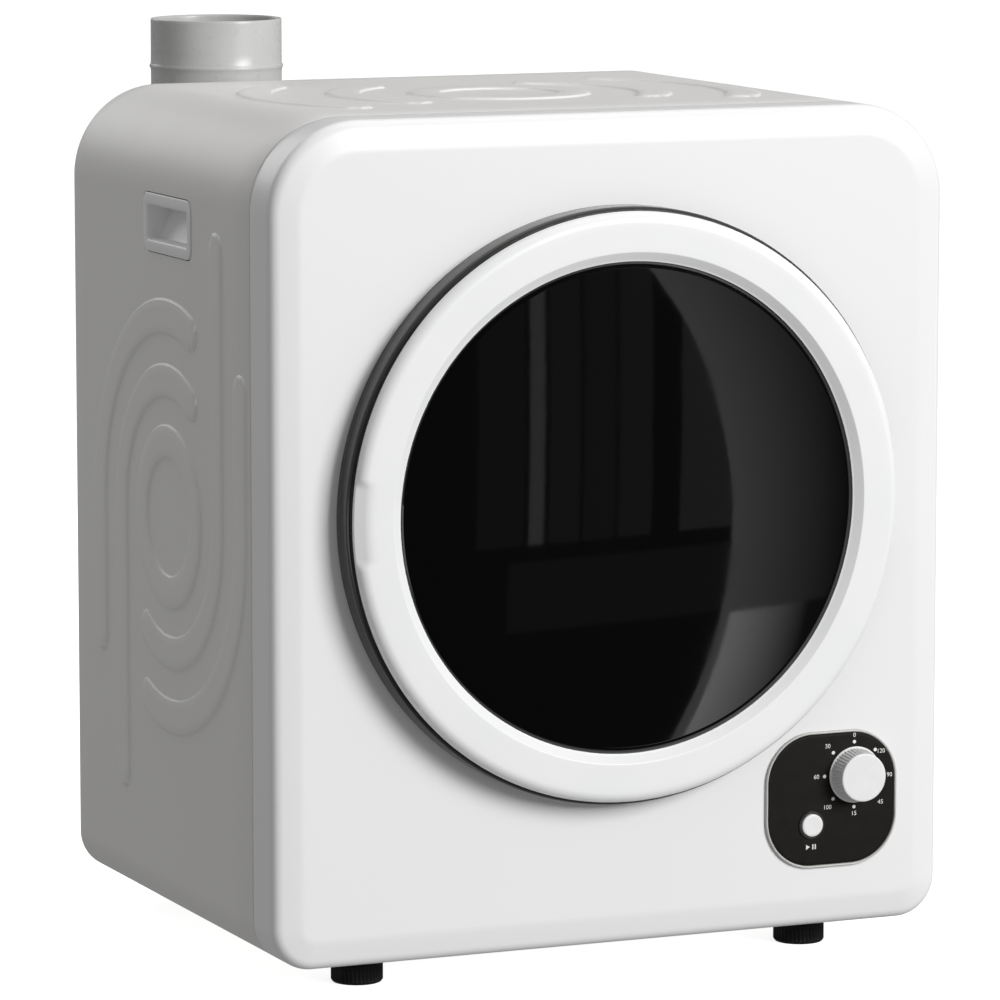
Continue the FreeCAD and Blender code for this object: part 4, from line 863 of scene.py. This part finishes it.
# Square soft lights: place and target in metres, side length in metres and power in watts.
lights = {"keySoftbox": {"place": (3.2, -6.0, 2.9), "target": (0, 0, 0.33), "size": 3.0, "power": 432},
          "topSoftbox": {"place": (0.2, 0.3, 3.2), "target": (0, 0, 0.4), "size": 2.5, "power": 24.5},
          "rimSoftbox": {"place": (-0.75, 2.0, 1.5), "target": (-0.26, 0, 0.33), "size": 1.2, "power": 8}}


# A square soft light at a place, aimed at a target.
def addLight(name, place, target, size, power):
    data = bpy.data.lights.new(name, "AREA")
    data.shape = "RECTANGLE"
    data.size = size
    data.size_y = size
    data.energy = power
    lamp = bpy.data.objects.new(name, data)
    bpy.context.scene.collection.objects.link(lamp)
    lamp.location = place
    aim = np.array(target, float) - np.array(place, float)
    swing = math.atan2(aim[1], aim[0]) - math.pi / 2
    lamp.rotation_euler = (math.atan2(math.hypot(aim[0], aim[1]), -aim[2]), 0, swing)


# The room that the glass shows, in metres: a pale curtain beyond a round edge, a brighter patch of it below
# the floor line, a card at the left, and dim panes (left, right, low, high, glow).
curtain = {"x": 0.589, "z": -0.146, "radius": 0.949, "bright": 0.62, "dim": 0.04, "fade": 0.36, "right": 2.6,
           "floorLine": -0.33, "floorBright": 1.86, "floorFade": 0.24, "room": 0.02, "side": 1.7,
           "panes": [(0.86, 0.985, -0.15, 0.6, 0.06), (1.0, 1.04, -0.15, 0.6, 0.36),
                     (1.055, 1.14, -0.15, 0.6, 0.08), (1.15, 1.24, -0.15, 0.6, 0.07),
                     (1.25, 1.345, -0.15, 0.6, 0.09), (1.43, 1.62, -0.15, 0.6, 0.15),
                     (0.95, 2.3, -0.36, -0.19, 0.06)]}


# A flat upright card that only mirrored rays meet: it gives the glass a dim room to reflect. Its outline
# is (x, z) in metres. With a fade, the glow falls off beyond the curtain's edge, down to the dim value.
def addCard(name, outline, depth, near, fade=None):
    material = bpy.data.materials.new(name)
    material.use_nodes = True
    tree = material.node_tree
    shader = tree.nodes["Principled BSDF"]
    shader.inputs["Base Color"].default_value = toLinear("#000000")
    shader.inputs["Specular IOR Level"].default_value = 0
    shader.inputs["Emission Color"].default_value = (1, 1, 1, 1)
    shader.inputs["Emission Strength"].default_value = near
    if fade:
        edge = curtain["radius"]
        where = addNode(tree, "ShaderNodeTexCoord")
        middle = (curtain["x"], depth, curtain["z"])
        away = addNode(tree, "ShaderNodeVectorMath", {"operation": "DISTANCE", 1: middle},
                       {0: (where, "Object")})
        share = addNode(tree, "ShaderNodeMapRange",
                        {"From Min": edge, "From Max": edge + fade, "To Min": near, "To Max": curtain["dim"]},
                        {"Value": (away, "Value")})
        tree.links.new(share.outputs["Result"], shader.inputs["Emission Strength"])
    points = [(x / mm, depth / mm, z / mm) for x, z in outline]
    card = makeMesh(name, points, [list(range(len(points)))], None, material, False)
    card.visible_camera = False
    card.visible_diffuse = False
    card.visible_shadow = False
    card.visible_transmission = False


# Four corners of an upright card.
def cardBox(left, right, low, high):
    return [(left, low), (right, low), (right, high), (left, high)]


# The dark room behind everything, then the curtain, its floor patch, the card at the left and the panes.
def buildCards():
    addCard("darkRoom", cardBox(-3, 6, -4, 5), -3.4, curtain["room"])
    edge = [(curtain["x"] + curtain["radius"] * math.cos(a), curtain["z"] + curtain["radius"] * math.sin(a))
            for a in np.radians(np.linspace(60, -52, 48))]
    right, floorLine = curtain["right"], curtain["floorLine"]
    addCard("paleCurtain", edge + [(right, edge[-1][1]), (right, edge[0][1])], -3.0, curtain["bright"],
            curtain["fade"])
    below = [(x, z) for x, z in edge if z < floorLine]
    below += [(right, below[-1][1]), (right, floorLine - 0.12), (1.9, floorLine)]
    addCard("paleFloorPatch", below, -2.95, curtain["floorBright"], curtain["floorFade"])
    addCard("sideGlow", cardBox(-4.4, -1.2, -0.6, 0.25), -1.6, curtain["side"])
    for i, (left, farther, low, high, glow) in enumerate(curtain["panes"]):
        addCard("windowPane%d" % i, cardBox(left, farther, low, high), -3.1, glow)


buildStage()
buildCards()
for name, values in lights.items():
    addLight(name, **values)
world = bpy.data.worlds.new("studioWorld")
world.use_nodes = True
background = world.node_tree.nodes["Background"]
background.inputs["Color"].default_value = toLinear("#ffffff")
background.inputs["Strength"].default_value = studio["world"]
bpy.context.scene.world = world
bpy.context.scene.view_settings.view_transform = "Standard"
print("stage and lights ready")

# The camera: place in metres, turn and tilt in degrees, focal length in thousandths of the frame's width.
view = {"place": (-1.7629, -4.1279, 0.9372), "yaw": 23.324, "pitch": 7.848, "focal": 5959.4}
cameraData = bpy.data.cameras.new("frontCamera")
cameraData.sensor_width = 36
cameraData.lens = view["focal"] / 1000 * 36
cameraData.clip_end = 100
camera = bpy.data.objects.new("frontCamera", cameraData)
bpy.context.scene.collection.objects.link(camera)
camera.location = view["place"]
camera.rotation_euler = (math.radians(90 - view["pitch"]), 0, math.radians(-view["yaw"]))
bpy.context.scene.camera = camera
